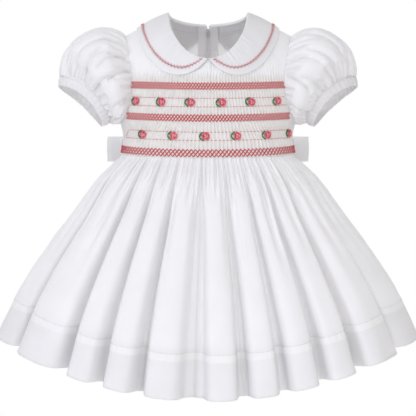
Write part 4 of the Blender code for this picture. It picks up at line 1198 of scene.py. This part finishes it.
def collar_embroidery(name, side, seed, finish):
    """A coral line of overlapping slanted stitches, with a tick on each side and a white picot beside it."""
    spacing = 1.55
    points, outs = collar_path(COLLAR_STITCH_IN, spacing)
    along = np.gradient(points, axis=0)
    along /= np.linalg.norm(along, axis=-1, keepdims=True)
    inwards = np.cross(along, outs)
    above = points + outs * 0.7
    rope = stitches(above - along * 1.1 - inwards * 0.32, above + along * 1.1 + inwards * 0.32, outs, 0.34,
                    bow=0.35, rings=6, sides=5)
    ticks, picots = [], []
    for way, first in ((1, 0), (-1, 1)):
        here = slice(first, None, 3)
        base = above[here] + inwards[here] * way * 0.5
        ticks.append((base, base + inwards[here] * way * 1.9 + along[here] * 0.5, outs[here]))
        spot = points[here] + inwards[here] * way * 1.35 + along[here] * 1.5 + outs[here] * 0.25
        picots.append((spot - along[here] * 0.5, spot + along[here] * 0.5, outs[here]))
    tick = [np.concatenate(group) for group in zip(*ticks)]
    picot = [np.concatenate(group) for group in zip(*picots)]
    tick_threads = stitches(*tick, 0.42, bow=0.2, rings=4, sides=5)
    picot_threads = stitches(*picot, 0.42, bow=0.3, rings=4, sides=5)
    piece = threads(name, [(rope, 0), (tick_threads, 2), (picot_threads, 1)],
                    [finish["pale coral"], finish["white thread"], finish["coral"]], seed)
    if side < 0:
        flip(piece)
    return piece


def flip(piece):
    """Mirror a piece to the wearer's other side."""
    mesh = piece.data
    mesh.transform(Matrix.Scale(-1, 4, (1, 0, 0)))
    mesh.flip_normals()


# ---------------------------------------------------------------- sleeves

def cuff_ring(ring, turns):
    """One ring of the cuff: turn 0 is its upper outer end, a quarter turn its front."""
    centre = np.array(ring["centre"])
    long = np.array(CUFF_LONG) * (-1, 1, 1)
    lift = np.array([-CUFF_LONG[2], 0.0, CUFF_LONG[0]]) * (-1, 1, 1)
    wide = np.array([0.0, -math.cos(CUFF_TILT), 0.0]) + lift * math.sin(CUFF_TILT)
    cos, sin = np.cos(turns)[:, None], np.sin(turns)[:, None]
    saddle = -CUFF_SADDLE * np.cos(2 * turns)[:, None] * lift
    return centre - long * ring["long"] * cos + wide * ring["wide"] * sin + saddle


def puff_handle(shape, across, run_way, out_way, turns):
    """How a Bezier curve leaves one end of the sleeve: along the run and out with the puff's swell."""
    full = 0.5 + 0.5 * np.cos(turns)[:, None]
    run = shape["run"] + shape["top_run"] * full ** 0.8
    swell = shape["swell"] + shape["sides"] * np.abs(np.sin(turns)[:, None]) + shape["top"] * full ** 2
    return across + run_way * run + out_way * swell


# Folds of a sleeve: how many, where along it they start and stop, their depths, half width and lean
SLEEVE_FOLDS = (
    (12, (0.0, 0.06, 0.45, 0.85), 5.0, 8.5, 2.5, (0.1, 0.8)),
    (8, (0.35, 0.6, 0.97, 1.0), 4.5, 7.5, 2.4, (0.0, 0.6)),
    (30, (0.0, 0.02, 0.08, 0.26), 3.4, 6.0, 1.9, (-0.2, 0.2)),
    (36, (0.74, 0.9, 0.985, 1.0), 3.2, 6.0, 1.8, (-0.1, 0.2)),
)


def sleeve(name, side, seed, finish):
    """A puff gathered at armhole and cuff, with long soft folds running from one to the other."""
    start = armhole_ring(170) + (-0.3, 0, 0)
    columns = len(start)
    turns = np.linspace(0, 2 * math.pi, columns, endpoint=False)
    end = cuff_ring(CUFF_SEAM, turns)
    away = unit((start - PUFF_MIDDLE) * (0, 1, 1))
    start = start - away * 1.2
    cuff_out = unit(end - CUFF_SEAM["centre"])
    inwards = unit(np.subtract(CUFF_SEAM["centre"], CUFF_OPENING["centre"]))
    first = puff_handle(PUFF_ARMHOLE, start, np.array([1.0, 0, 0]), away, turns)
    second = puff_handle(PUFF_CUFF, end, inwards, cuff_out, turns)
    end = end - cuff_out * 0.8
    t = (0.5 - 0.5 * np.cos(math.pi * np.linspace(0, 1, 104)))[:, None, None]
    grid = (start * (1 - t) ** 3 + first * 3 * t * (1 - t) ** 2 + second * 3 * t * t * (1 - t) + end * t ** 3)
    share = t[..., 0]
    reach = within(share, (0, 0.03), (0.985, 1))
    draw = np.random.default_rng(seed)
    depth = np.full((len(share), columns), 3.8)
    radius = np.array([lengths(np.concatenate([ring, ring[:1]]))[-1] for ring in grid])[:,
                                                                                        None] / (2 * math.pi)
    for folds, where, low, high, sharp, drift in SLEEVE_FOLDS:
        for number in range(folds):
            turn = 2 * math.pi * (number + draw.uniform(-0.3, 0.3)) / folds
            start_at, stop_at = draw.uniform(*where[:2]), draw.uniform(*where[2:])
            seam = within(share, (start_at - 0.12, start_at), (stop_at, stop_at + 0.16))
            lean = turn + draw.uniform(*drift) * (share - 0.3)
            apart = (turns - lean + math.pi) % (2 * math.pi) - math.pi
            distance = apart * radius / sharp
            valley = np.exp(-np.sqrt(distance ** 2 + 0.12) * np.where(distance > 0, 0.5, 1.25))
            depth = depth - draw.uniform(low, high) * seam * valley
    depth = depth + 0.5 * noise(turns * 60, share * 90, seed + 5, 22, 70)
    grid = moved_out(grid, depth * reach, closed=True)
    return cloth(name, on_side(grid, side), finish["cotton"], closed=True)


def cuff_points(share, turns, out=0.0):
    """The cuff's outer face between its seam (0) and its opening (1)."""
    seam, opening = cuff_ring(CUFF_SEAM, turns), cuff_ring(CUFF_OPENING, turns)
    centre = np.mean(seam, axis=0)
    outwards = seam - centre
    outwards /= np.linalg.norm(outwards, axis=1, keepdims=True)
    share = np.asarray(share)[:, None, None]
    bulge = 0.9 * np.sin(math.pi * share) + out
    return seam * (1 - share) + opening * share + outwards * bulge


def cuff(name, side, seed, finish):
    """A double band with a softly rippled face and a rounded edge round the open arm hole."""
    turns = np.linspace(0, 2 * math.pi, 240, endpoint=False)
    share = np.linspace(0, 1, 16)
    grid = cuff_points(share, turns)
    ripple = 0.45 * noise(turns * 39, share[:, None] * 11, seed, 9,
                          30) + 0.35 * np.sin(turns * 34 + 1.3 * share[:, None])
    ripple = ripple - 0.3 * np.exp(-((share[:, None] - 0.13) / 0.05) ** 2)
    outer = moved_out(grid, ripple, closed=True)
    whole = band_of(outer, CUFF_THICK, closed=True)
    if side < 0:
        whole = mirrored(whole)
    zeros = np.zeros(whole.shape[:2])
    return cloth(name, whole, finish["cotton"], closed=True, closed_rows=True,
                 shades={"painted_smocking_shade": zeros, "strip": zeros})


def cuff_stitches(name, side, seed, finish):
    """The machine stitches that close the cuff over the sleeve's gathers."""
    turns = np.linspace(0, 2 * math.pi, 181)
    line = cuff_points([0.12, 0.2], turns, 0.15)
    starts, ends = line[0][:-1], line[0][1:]
    outs = normals_of(line)[0][:-1]
    made = stitches(starts * 0.92 + ends * 0.08, starts * 0.2 + ends * 0.8, outs, 0.2, bow=0.22, rings=5)
    piece = threads(name, [(made, 0)], [finish["grey thread"]], seed)
    if side < 0:
        flip(piece)
    return piece


# ---------------------------------------------------------------- skirt

def skirt_base(share, degrees):
    """The skirt without folds: points, the level way out from each, and how far its crests stand out."""
    turn = np.radians(degrees)
    sin, cos = np.sin(turn), np.cos(turn)
    side, side_drop = SKIRT.read("side", share), SKIRT.read("side_drop", share)
    front_drop = SKIRT.read("front_drop", share)
    reach = np.where(cos > 0, SKIRT.read("front", share), SKIRT.read("back", share))
    drop = side_drop + (front_drop - side_drop) * np.abs(cos) ** HEM_ROUND
    points = np.stack(np.broadcast_arrays(side * sin, -np.sign(cos) * reach * section(sin),
                                          WAIST - drop), axis=-1)
    return points, unit(np.stack(np.broadcast_arrays(sin / side, -cos / reach, 0.0), axis=-1))


def skirt_gathers():
    """The gathers between the skirt's valleys: angle, share of the skirt at which each has run out,
    drift, depth."""
    draw = np.random.default_rng(71)
    fine = np.linspace(VALLEYS.keys[0], VALLEYS.keys[-1], 1441)
    run = lengths(skirt_base(np.array([[0.0]]), fine[None])[0][0])
    rows = []
    for start, stop in zip(VALLEYS.keys[:-1], VALLEYS.keys[1:]):
        first, last = np.interp((start, stop), fine, run)
        count = max(round((last - first) / WAIST_PITCH), 2)
        longest = draw.permutation(count - 1)[:max(round(count / 4), 1)] + 1
        for number in range(1, count):
            place = first + (last - first) * (number + draw.uniform(-0.22, 0.22)) / count
            run_out = draw.uniform(0.34, 0.9) if number in longest else draw.uniform(0.09, 0.26)
            angle = np.interp(place, run, fine)
            rows.append((angle, run_out, draw.uniform(-1.0, 1.0), draw.uniform(0.6, 1.15)))
    return rows


def skirt_points(share, degrees, first, last):
    """The folded skirt between two side seams: rows of shares, columns of degrees."""
    share, degrees = share[:, None], degrees[None]
    points, out = skirt_base(share, degrees)
    steps = np.linalg.norm(np.gradient(points, axis=1), axis=-1)
    speed = np.maximum(steps / np.gradient(degrees[0]), 0.2)
    wide, thin = SKIRT.read("wide", share), SKIRT.read("thin", share)
    fold = SKIRT.read("fold", share)
    away = fold + np.zeros(points.shape[:2])
    slide = np.zeros(points.shape[:2])
    edges = np.append(VALLEYS.keys, VALLEYS.keys[1] + 360)
    lobe = np.clip(np.searchsorted(edges, degrees[0]) - 1, 0, len(edges) - 2)
    half_lobe = (edges[lobe + 1] - edges[lobe]) / 2
    across = (degrees - edges[lobe] - half_lobe) / half_lobe
    away = away - CROWN * half_lobe * speed * np.abs(across) ** 2.4 * smooth_step(share, 0.02, 0.4)
    for angle, half_width, depth in zip(*VALLEYS.columns.values()):
        if angle < first - 12:
            continue
        half_width = 7 + (half_width - 7) * smooth_step(share, 0.02, 0.3)
        distance = np.abs(degrees - angle) * speed / (half_width * wide)
        narrow = 1 / (1 + distance ** 9) ** 0.6
        away = away - SKIRT.read("valley", share) * depth * narrow
        wall = 4 * narrow * (1 - narrow) ** 2 * np.sign(degrees - angle)
        slide = slide - wall * 0.14 * half_width * wide * smooth_step(share, 0.15, 0.6)
    for angle, run_out, drift, depth in skirt_gathers():
        if angle < first - 12:
            angle += 360
        centre = angle + drift * np.sin(math.pi * np.clip(share * 1.4, 0, 1))
        distance = (degrees - centre) * speed / thin
        deep = SKIRT.read("gather", share) * depth * (1 - smooth_step(share, run_out * 0.3, run_out))
        away = away - deep / (1 + distance ** 4) ** 0.7
    seam = np.minimum(degrees - first, last - degrees)
    run = np.linspace(0, 1, points.shape[1])[None] * 900
    dents = noise(run, share * 300, 73, 40, 150) * smooth_step(share, 0.05, 0.5) * 0.7
    away = away + dents * smooth_step(seam, 0, 2)
    along = np.stack([-out[..., 1], out[..., 0], np.zeros(out.shape[:2])], axis=-1)
    points = points + out * away[..., None] + along * slide[..., None]
    points[..., 2] -= FOLD_DIP * (fold / 18) ** 1.5 + VALLEY_DIP * (fold - away) * (fold / 18)
    return points


def hem_line(degrees):
    return HEM_LINE + HEM_LINE_SIDE * np.abs(np.sin(np.radians(degrees))) ** 3


def even_angles(first, last, count):
    """Angles that part the skirt's upper ring into even lengths."""
    fine = np.linspace(first, last, 1441)
    ring = skirt_base(np.array([[0.2]]), fine[None])[0][0]
    run = lengths(ring)
    return np.interp(np.linspace(0, run[-1], count), run, fine)


def skirt(name, first, last, finish):
    """A skirt panel with its hem turned up inside and sewn along a line that draws the cloth in a little."""
    degrees = even_angles(first, last, 521)
    shares = np.concatenate([np.linspace(0, 0.16, 26), np.linspace(0.16, 0.78, 40)[1:],
                             np.linspace(0.78, 0.87, 22)[1:], np.linspace(0.87, 1.0, 9)[1:]])
    outer = skirt_points(shares, degrees, first, last)
    outer = np.concatenate([outer[:1] + (0, 0, WAIST_LAP), outer])
    shares = np.concatenate([[0], shares])
    below = shares[:, None] - hem_line(degrees)[None]
    in_strip = within(below, (-0.001, 0.001), (HEM_STRIP - 0.002, HEM_STRIP + 0.002))
    run = np.cumsum(np.linalg.norm(np.gradient(outer[-8], axis=0), axis=-1))
    pucker = np.cos(2 * math.pi * run / 6.3 + 2.2 * noise(run, 0 * run, 77, 12, 40))[None]
    line = np.exp(-(below / 0.003) ** 2)
    near = np.exp(-((below - 0.012) / 0.014) ** 2)
    lift = 0.15 * in_strip + 0.35 * pucker * near - 0.25 * line
    outer = moved_out(outer[::-1], lift[::-1])
    strip = in_strip[::-1]
    turned = shares >= HEM_LINE + HEM_LINE_SIDE - 0.005
    back_layer = moved_out(outer, -1.1)[:turned.sum():4][::-1]
    edge = (outer[0] + back_layer[-1]) / 2 + (0, 0, -0.55)
    grid = np.concatenate([back_layer, edge[None], outer])
    strip = np.concatenate([np.zeros((len(back_layer) + 1, len(degrees))), strip])
    return cloth(name, grid, finish["cotton"], shades={"strip": strip})


def hem_stitches(name, first, last, seed, finish):
    """The hem's line of machine stitches."""
    degrees = even_angles(first, last, 1801)
    share = hem_line(degrees)
    table = np.linspace(share.min() - 0.002, share.max() + 0.002, 24)
    grid = skirt_points(table, degrees, first, last)
    place = (share - table[0]) / (table[1] - table[0])
    low = np.clip(place.astype(int), 0, len(table) - 2)
    rest = (place - low)[:, None]
    columns = np.arange(len(degrees))
    line = grid[low, columns] * (1 - rest) + grid[low + 1, columns] * rest
    outs = normals_of(grid[::-1])[::-1][low, columns]
    count = round(lengths(line)[-1] / 2.4)
    joined = evenly(np.concatenate([line, outs * 1e-3], axis=1), count)
    line, outs = joined[:, :3], joined[:, 3:]
    outs /= np.linalg.norm(outs, axis=-1, keepdims=True)
    starts, ends = line[:-1], line[1:]
    made = stitches(starts * 0.94 + ends * 0.06, starts * 0.22 + ends * 0.78, outs[:-1], 0.27, bow=0.2,
                    rings=4,
                    sides=5)
    return threads(name, [(made, 0)], [finish["grey thread"]], seed)


# ---------------------------------------------------------------- sash and bow

def ribbon(name, outer, thickness, finish, closed=False):
    grid = band_of(outer, thickness, closed)
    return cloth(name, grid, finish["ribbon"], closed=closed, closed_rows=True)


def sash(name, side, seed, finish):
    """Gathered a little at the side seam and drawn into lengthwise folds under the knot."""
    grid, lower_rows, _ = back_outer(main=84, pits=13)
    back = grid[:lower_rows, :]
    heights = WAIST + np.linspace(*SASH_RISE, 26)
    rows = []
    for z in heights:
        row = min(np.searchsorted(back[:, -1, 2], z) - 1, len(back) - 2)
        share = (z - back[row, -1, 2]) / (back[row + 1, -1, 2] - back[row, -1, 2])
        rows.append(back[row] * (1 - share) + back[row + 1] * share)
    outer = np.array(rows)
    angle = np.degrees(np.arctan2(outer[0, :, 1], outer[0, :, 0]))
    first = int(np.argmax(angle > 4))
    outer = outer[:, first:]
    columns = outer.shape[1]
    level = np.linspace(0, 1, 26)[:, None]
    place = np.linspace(0, 1, columns)[None]
    folds = np.cos(2 * math.pi * (level * 2.6 + 0.3 * np.sin(place * 5 + seed)))
    ends = np.exp(-place / 0.16) + 1.2 * np.exp(-(1 - place) / 0.2)
    depth = 0.5 * folds * ends + 0.35 * noise(place * 150, level * 60, seed, 18, 70)
    outer = moved_out(outer, 1.5 + depth + 0.2)
    if side < 0:
        outer = mirrored(outer)
    return ribbon(name, outer, 0.8, finish)


def bow_loop(name, side, seed, finish):
    """A band of ribbon folded back on itself, pinched at the knot, with creases that fan out from there."""
    outs = np.concatenate([np.linspace(9.5, 40, 22), np.linspace(42, 126, 34)])
    ends = np.radians(np.linspace(72, -72, 22))
    tip_depth = float(LOOP.read("half_depth", LOOP_TURN))
    depth = LOOP.read("half_depth", outs)
    x = np.concatenate([outs, LOOP_TURN + (LOOP_END - LOOP_TURN) * np.cos(ends), outs[::-1]])
    y = np.concatenate([depth, tip_depth * np.sin(ends), -depth[::-1]])
    half_width, height = LOOP.read("half_width", x), LOOP.read("height", x)
    level = np.linspace(1, -1, 34)[:, None]
    grid = np.stack([x + 0 * level, BOW_BACK + y + 0 * level, height + half_width * level], axis=-1)
    reach = np.exp(-(x - 9.5) / 34)
    fan = np.cos(math.pi * (level * 2.5 + 0.35 * np.sign(y)))
    soft = 0.9 * noise(x * 1.0 + y * 0.5, level * 17, seed, 22, 80) * smooth_step(x, 12, 50)
    swell = 1.1 * np.sin(math.pi * (level + 1) / 2) * smooth_step(x, 12, 60)
    amount = 1.5 * fan * reach * smooth_step(x, 8, 16) + soft + swell - 0.6
    grid[..., 1] += (amount * np.sign(y + 1e-6))
    grid[..., 0] += 1.2 * np.cos(math.pi * level / 2) * smooth_step(x, 110, 142) - 1.0 * smooth_step(x, 110,
                                                                                                     142)
    grid = on_side(grid, side)
    return ribbon(name, grid, 0.8, finish, closed=True)


def bow_knot(name, finish):
    """The band drawn round the middle of the bow, with folds running round it."""
    turns = np.linspace(0, 2 * math.pi, 140, endpoint=False)
    across = np.linspace(-10, 10, 30)[:, None]
    crease = 0.5 * np.cos(2 * math.pi * (across / 6.4 + 0.12 * np.sin(2 * turns + 0.6)))
    crease = crease + 0.3 * np.cos(2 * math.pi * across / 3.1 + 1.5 * np.sin(turns))
    swell = 0.965 + 0.035 * np.cos(math.pi * across / 16)
    radius_y = KNOT_DEPTH * swell - 0.2 + 0.45 * crease
    radius_z = KNOT_HALF * swell - 0.3 + 0.55 * crease
    y = BOW_BACK + radius_y * np.cos(turns)
    z = KNOT_HEIGHT + radius_z * np.sin(turns)
    grid = np.stack([across + 0 * y, y, z], axis=-1)
    return ribbon(name, grid, 0.8, finish, closed=True)


def bow_tail(name, side, rest, seed, finish):
    """A tail that hangs from the knot: drawn together at its top, soft folds below, a slanting hemmed end."""
    shares = np.linspace(TAIL.keys[0], TAIL.keys[-1], 90)
    level = np.linspace(-1, 1, 34)[None]
    middle, half, lift = (TAIL.read(key, shares)[:, None] for key in ("middle", "half_width", "lift"))
    slant = TAIL_SLANT * level * smooth_step(shares, 0.4, TAIL.keys[-1])[:, None]
    x = middle + half * level
    share = shares[:, None] + slant
    degrees = 180 - np.degrees(np.arcsin(x / SKIRT.read("side", share)))
    points, out = skirt_base(share, degrees)
    stand = SKIRT.read("fold", share) + lift + rest
    top = np.exp(-(shares[:, None] - 0.015) / 0.11)
    folds = 0.8 * np.cos(math.pi * (level * 2.4 + 0.4)) * top
    waves = 0.55 * noise(level * 17, shares[:, None] * 400, seed, 26,
                         110) + 0.35 * np.cos(math.pi * level) * (1 - top)
    points = points + out * (stand + folds + waves + 0.25)[..., None]
    points[..., 2] -= FOLD_DIP * SKIRT.read("fold", share) / 18 + 0.15
    grid = points[::-1, ::-1]
    grid = on_side(grid, side)
    turned = grid.transpose(1, 0, 2)[:, ::-1]
    return ribbon(name, turned, 0.8, finish)


# ---------------------------------------------------------------- the pieces

def carried_metal(finish):
    """The slider and its pull tab keep their nodes' shape, with worn edges and a plated finish."""
    for name in ("zip_slider", "zip_pull_tab"):
        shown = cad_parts[name]
        for slot in shown.material_slots:
            slot.material = finish["metal"]
        edge = shown.modifiers.new("edge", "BEVEL")
        edge.width = 0.00018
        edge.segments = 2
        edge.limit_method = "ANGLE"


def place(piece, node, slot, body_name="dress"):
    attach(piece, body_name)
    if node:
        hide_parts(node)
    return piece


def dress():
    finish = finishes()
    front = place(front_bodice(finish), "front_bodice", "cotton")
    decoration = [smocking_bands(finish), cable_lines(finish), roses(finish)]
    for number, (word, side) in enumerate((("left", 1), ("right", -1))):
        seed = 100 + 20 * number
        back = place(back_bodice(f"back_bodice_{word}_cloth", side, seed, finish), f"back_bodice_{word}",
                     "cotton")
        tape = place(zip_tape(f"zip_tape_{word}_cloth", side, finish), f"zip_tape_{word}", "zip_tape")
        half = place(collar(f"collar_{word}_cloth", side, seed + 2, finish), f"collar_{word}", "cotton")
        decoration.append(collar_embroidery(f"collar_embroidery_{word}", side, seed + 4, finish))
        arm = place(sleeve(f"sleeve_{word}_cloth", side, seed + 5, finish), f"sleeve_{word}", "cotton")
        band = place(cuff(f"cuff_{word}_cloth", side, seed + 12, finish), f"cuff_{word}", "cotton")
        decoration.append(cuff_stitches(f"cuff_stitches_{word}", side, seed + 13, finish))
        belt = place(sash(f"sash_{word}_cloth", side, seed + 14, finish), f"sash_{word}", "ribbon")
        loop = place(bow_loop(f"bow_loop_{word}_cloth", side, seed + 15, finish), f"bow_loop_{word}",
                     "ribbon")
        tail = place(bow_tail(f"bow_tail_{word}_cloth", side, 0.0 if side > 0 else -1.4, seed + 16, finish),
                     f"bow_tail_{word}", "ribbon")
    binding = place(neck_binding(finish), "neck_binding", "cotton")
    for name, first, last, seed in (("skirt_front", -90, 90, 3), ("skirt_back", 90, 270, 5)):
        panel = place(skirt(name + "_cloth", first, last, finish), name, "cotton")
        decoration.append(hem_stitches(name.replace("skirt", "hem_stitches"), first, last, seed, finish))
    knot = place(bow_knot("bow_knot_cloth", finish), "bow_knot", "ribbon")
    decoration += [binding_stitches(finish), zip_teeth(finish)]
    for piece in decoration:
        place(piece, None, None)
    carried_metal(finish)


# ---------------------------------------------------------------- floor, light and camera

FLOOR_Z, FLOOR_RADIUS = -0.9, 1.3
AIM = (0.0, 0.0, -0.2449)
CAMERA_DISTANCE, CAMERA_ELEVATION = 1.8, math.radians(5)
CAMERA_LENS, CAMERA_SENSOR = 115.4, 36.0


def aimed(made, place_at, target):
    made.location = place_at
    made.rotation_euler = (Vector(target) - Vector(place_at)).to_track_quat("-Z", "Y").to_euler()


def area_light(name, place_at, size, power, colour):
    light = bpy.data.lights.new(name, "AREA")
    light.shape = "DISK"
    light.size, light.energy, light.color = size, power, colour
    made = bpy.data.objects.new(name, light)
    bpy.context.scene.collection.objects.link(made)
    aimed(made, place_at, AIM)


def stage():
    scene = bpy.context.scene
    turn = np.linspace(0, 2 * math.pi, 96, endpoint=False)
    rim = np.stack([FLOOR_RADIUS * np.cos(turn), FLOOR_RADIUS * np.sin(turn), np.full(96, FLOOR_Z)], axis=-1)
    mesh = bpy.data.meshes.new("floor")
    mesh.from_pydata([tuple(point) for point in rim], [], [tuple(range(96))])
    floor = bpy.data.objects.new("floor", mesh)
    scene.collection.objects.link(floor)
    pale = Finish("pale floor")
    pale.set("Base Color", pale.mix(pale.noise(3.0), (0.9, 0.9, 0.9, 1), (0.86, 0.86, 0.86, 1)))
    mesh.materials.append(pale.made)

    world = bpy.data.worlds.new("studio")
    scene.world = world
    world.use_nodes = True
    tree = world.node_tree
    tree.nodes.clear()
    rays = tree.nodes.new("ShaderNodeLightPath")
    room = tree.nodes.new("ShaderNodeBackground")
    room.inputs["Color"].default_value = (1.0, 0.965, 0.94, 1)
    room.inputs["Strength"].default_value = 0.525
    backdrop = tree.nodes.new("ShaderNodeBackground")
    backdrop.inputs["Color"].default_value = (1, 1, 1, 1)
    both = tree.nodes.new("ShaderNodeMixShader")
    output = tree.nodes.new("ShaderNodeOutputWorld")
    tree.links.new(rays.outputs["Is Camera Ray"], both.inputs["Fac"])
    tree.links.new(room.outputs["Background"], both.inputs[1])
    tree.links.new(backdrop.outputs["Background"], both.inputs[2])
    tree.links.new(both.outputs["Shader"], output.inputs["Surface"])

    area_light("top", (-0.3, -1.1, 1.7), 1.3, 12, (0.93, 0.97, 1.06))
    area_light("key", (-2.2, -1.9, 0.5), 1.1, 24, (0.9, 0.96, 1.1))
    area_light("fill", (2.1, -1.9, 0.4), 1.8, 5, (0.92, 0.965, 1.08))
    area_light("low fill", (0.4, -1.8, -0.8), 1.2, 12, (0.96, 0.98, 1.03))
    area_light("back", (0.0, 2.4, 0.5), 1.6, 16, (0.95, 0.98, 1.04))
    area_light("left rim", (-1.8, 1.6, 1.0), 1.4, 12, (1.0, 1.0, 1.0))
    area_light("right rim", (1.8, 1.6, 1.0), 1.4, 11, (1.0, 1.0, 1.0))

    camera = bpy.data.cameras.new("camera")
    camera.sensor_width, camera.lens = CAMERA_SENSOR, CAMERA_LENS
    made = bpy.data.objects.new("camera", camera)
    scene.collection.objects.link(made)
    aimed(made, (0.0, -CAMERA_DISTANCE * math.cos(CAMERA_ELEVATION),
                 AIM[2] + CAMERA_DISTANCE * math.sin(CAMERA_ELEVATION)), AIM)
    scene.camera = made
    scene.view_settings.view_transform = "Standard"


stage()
dress()
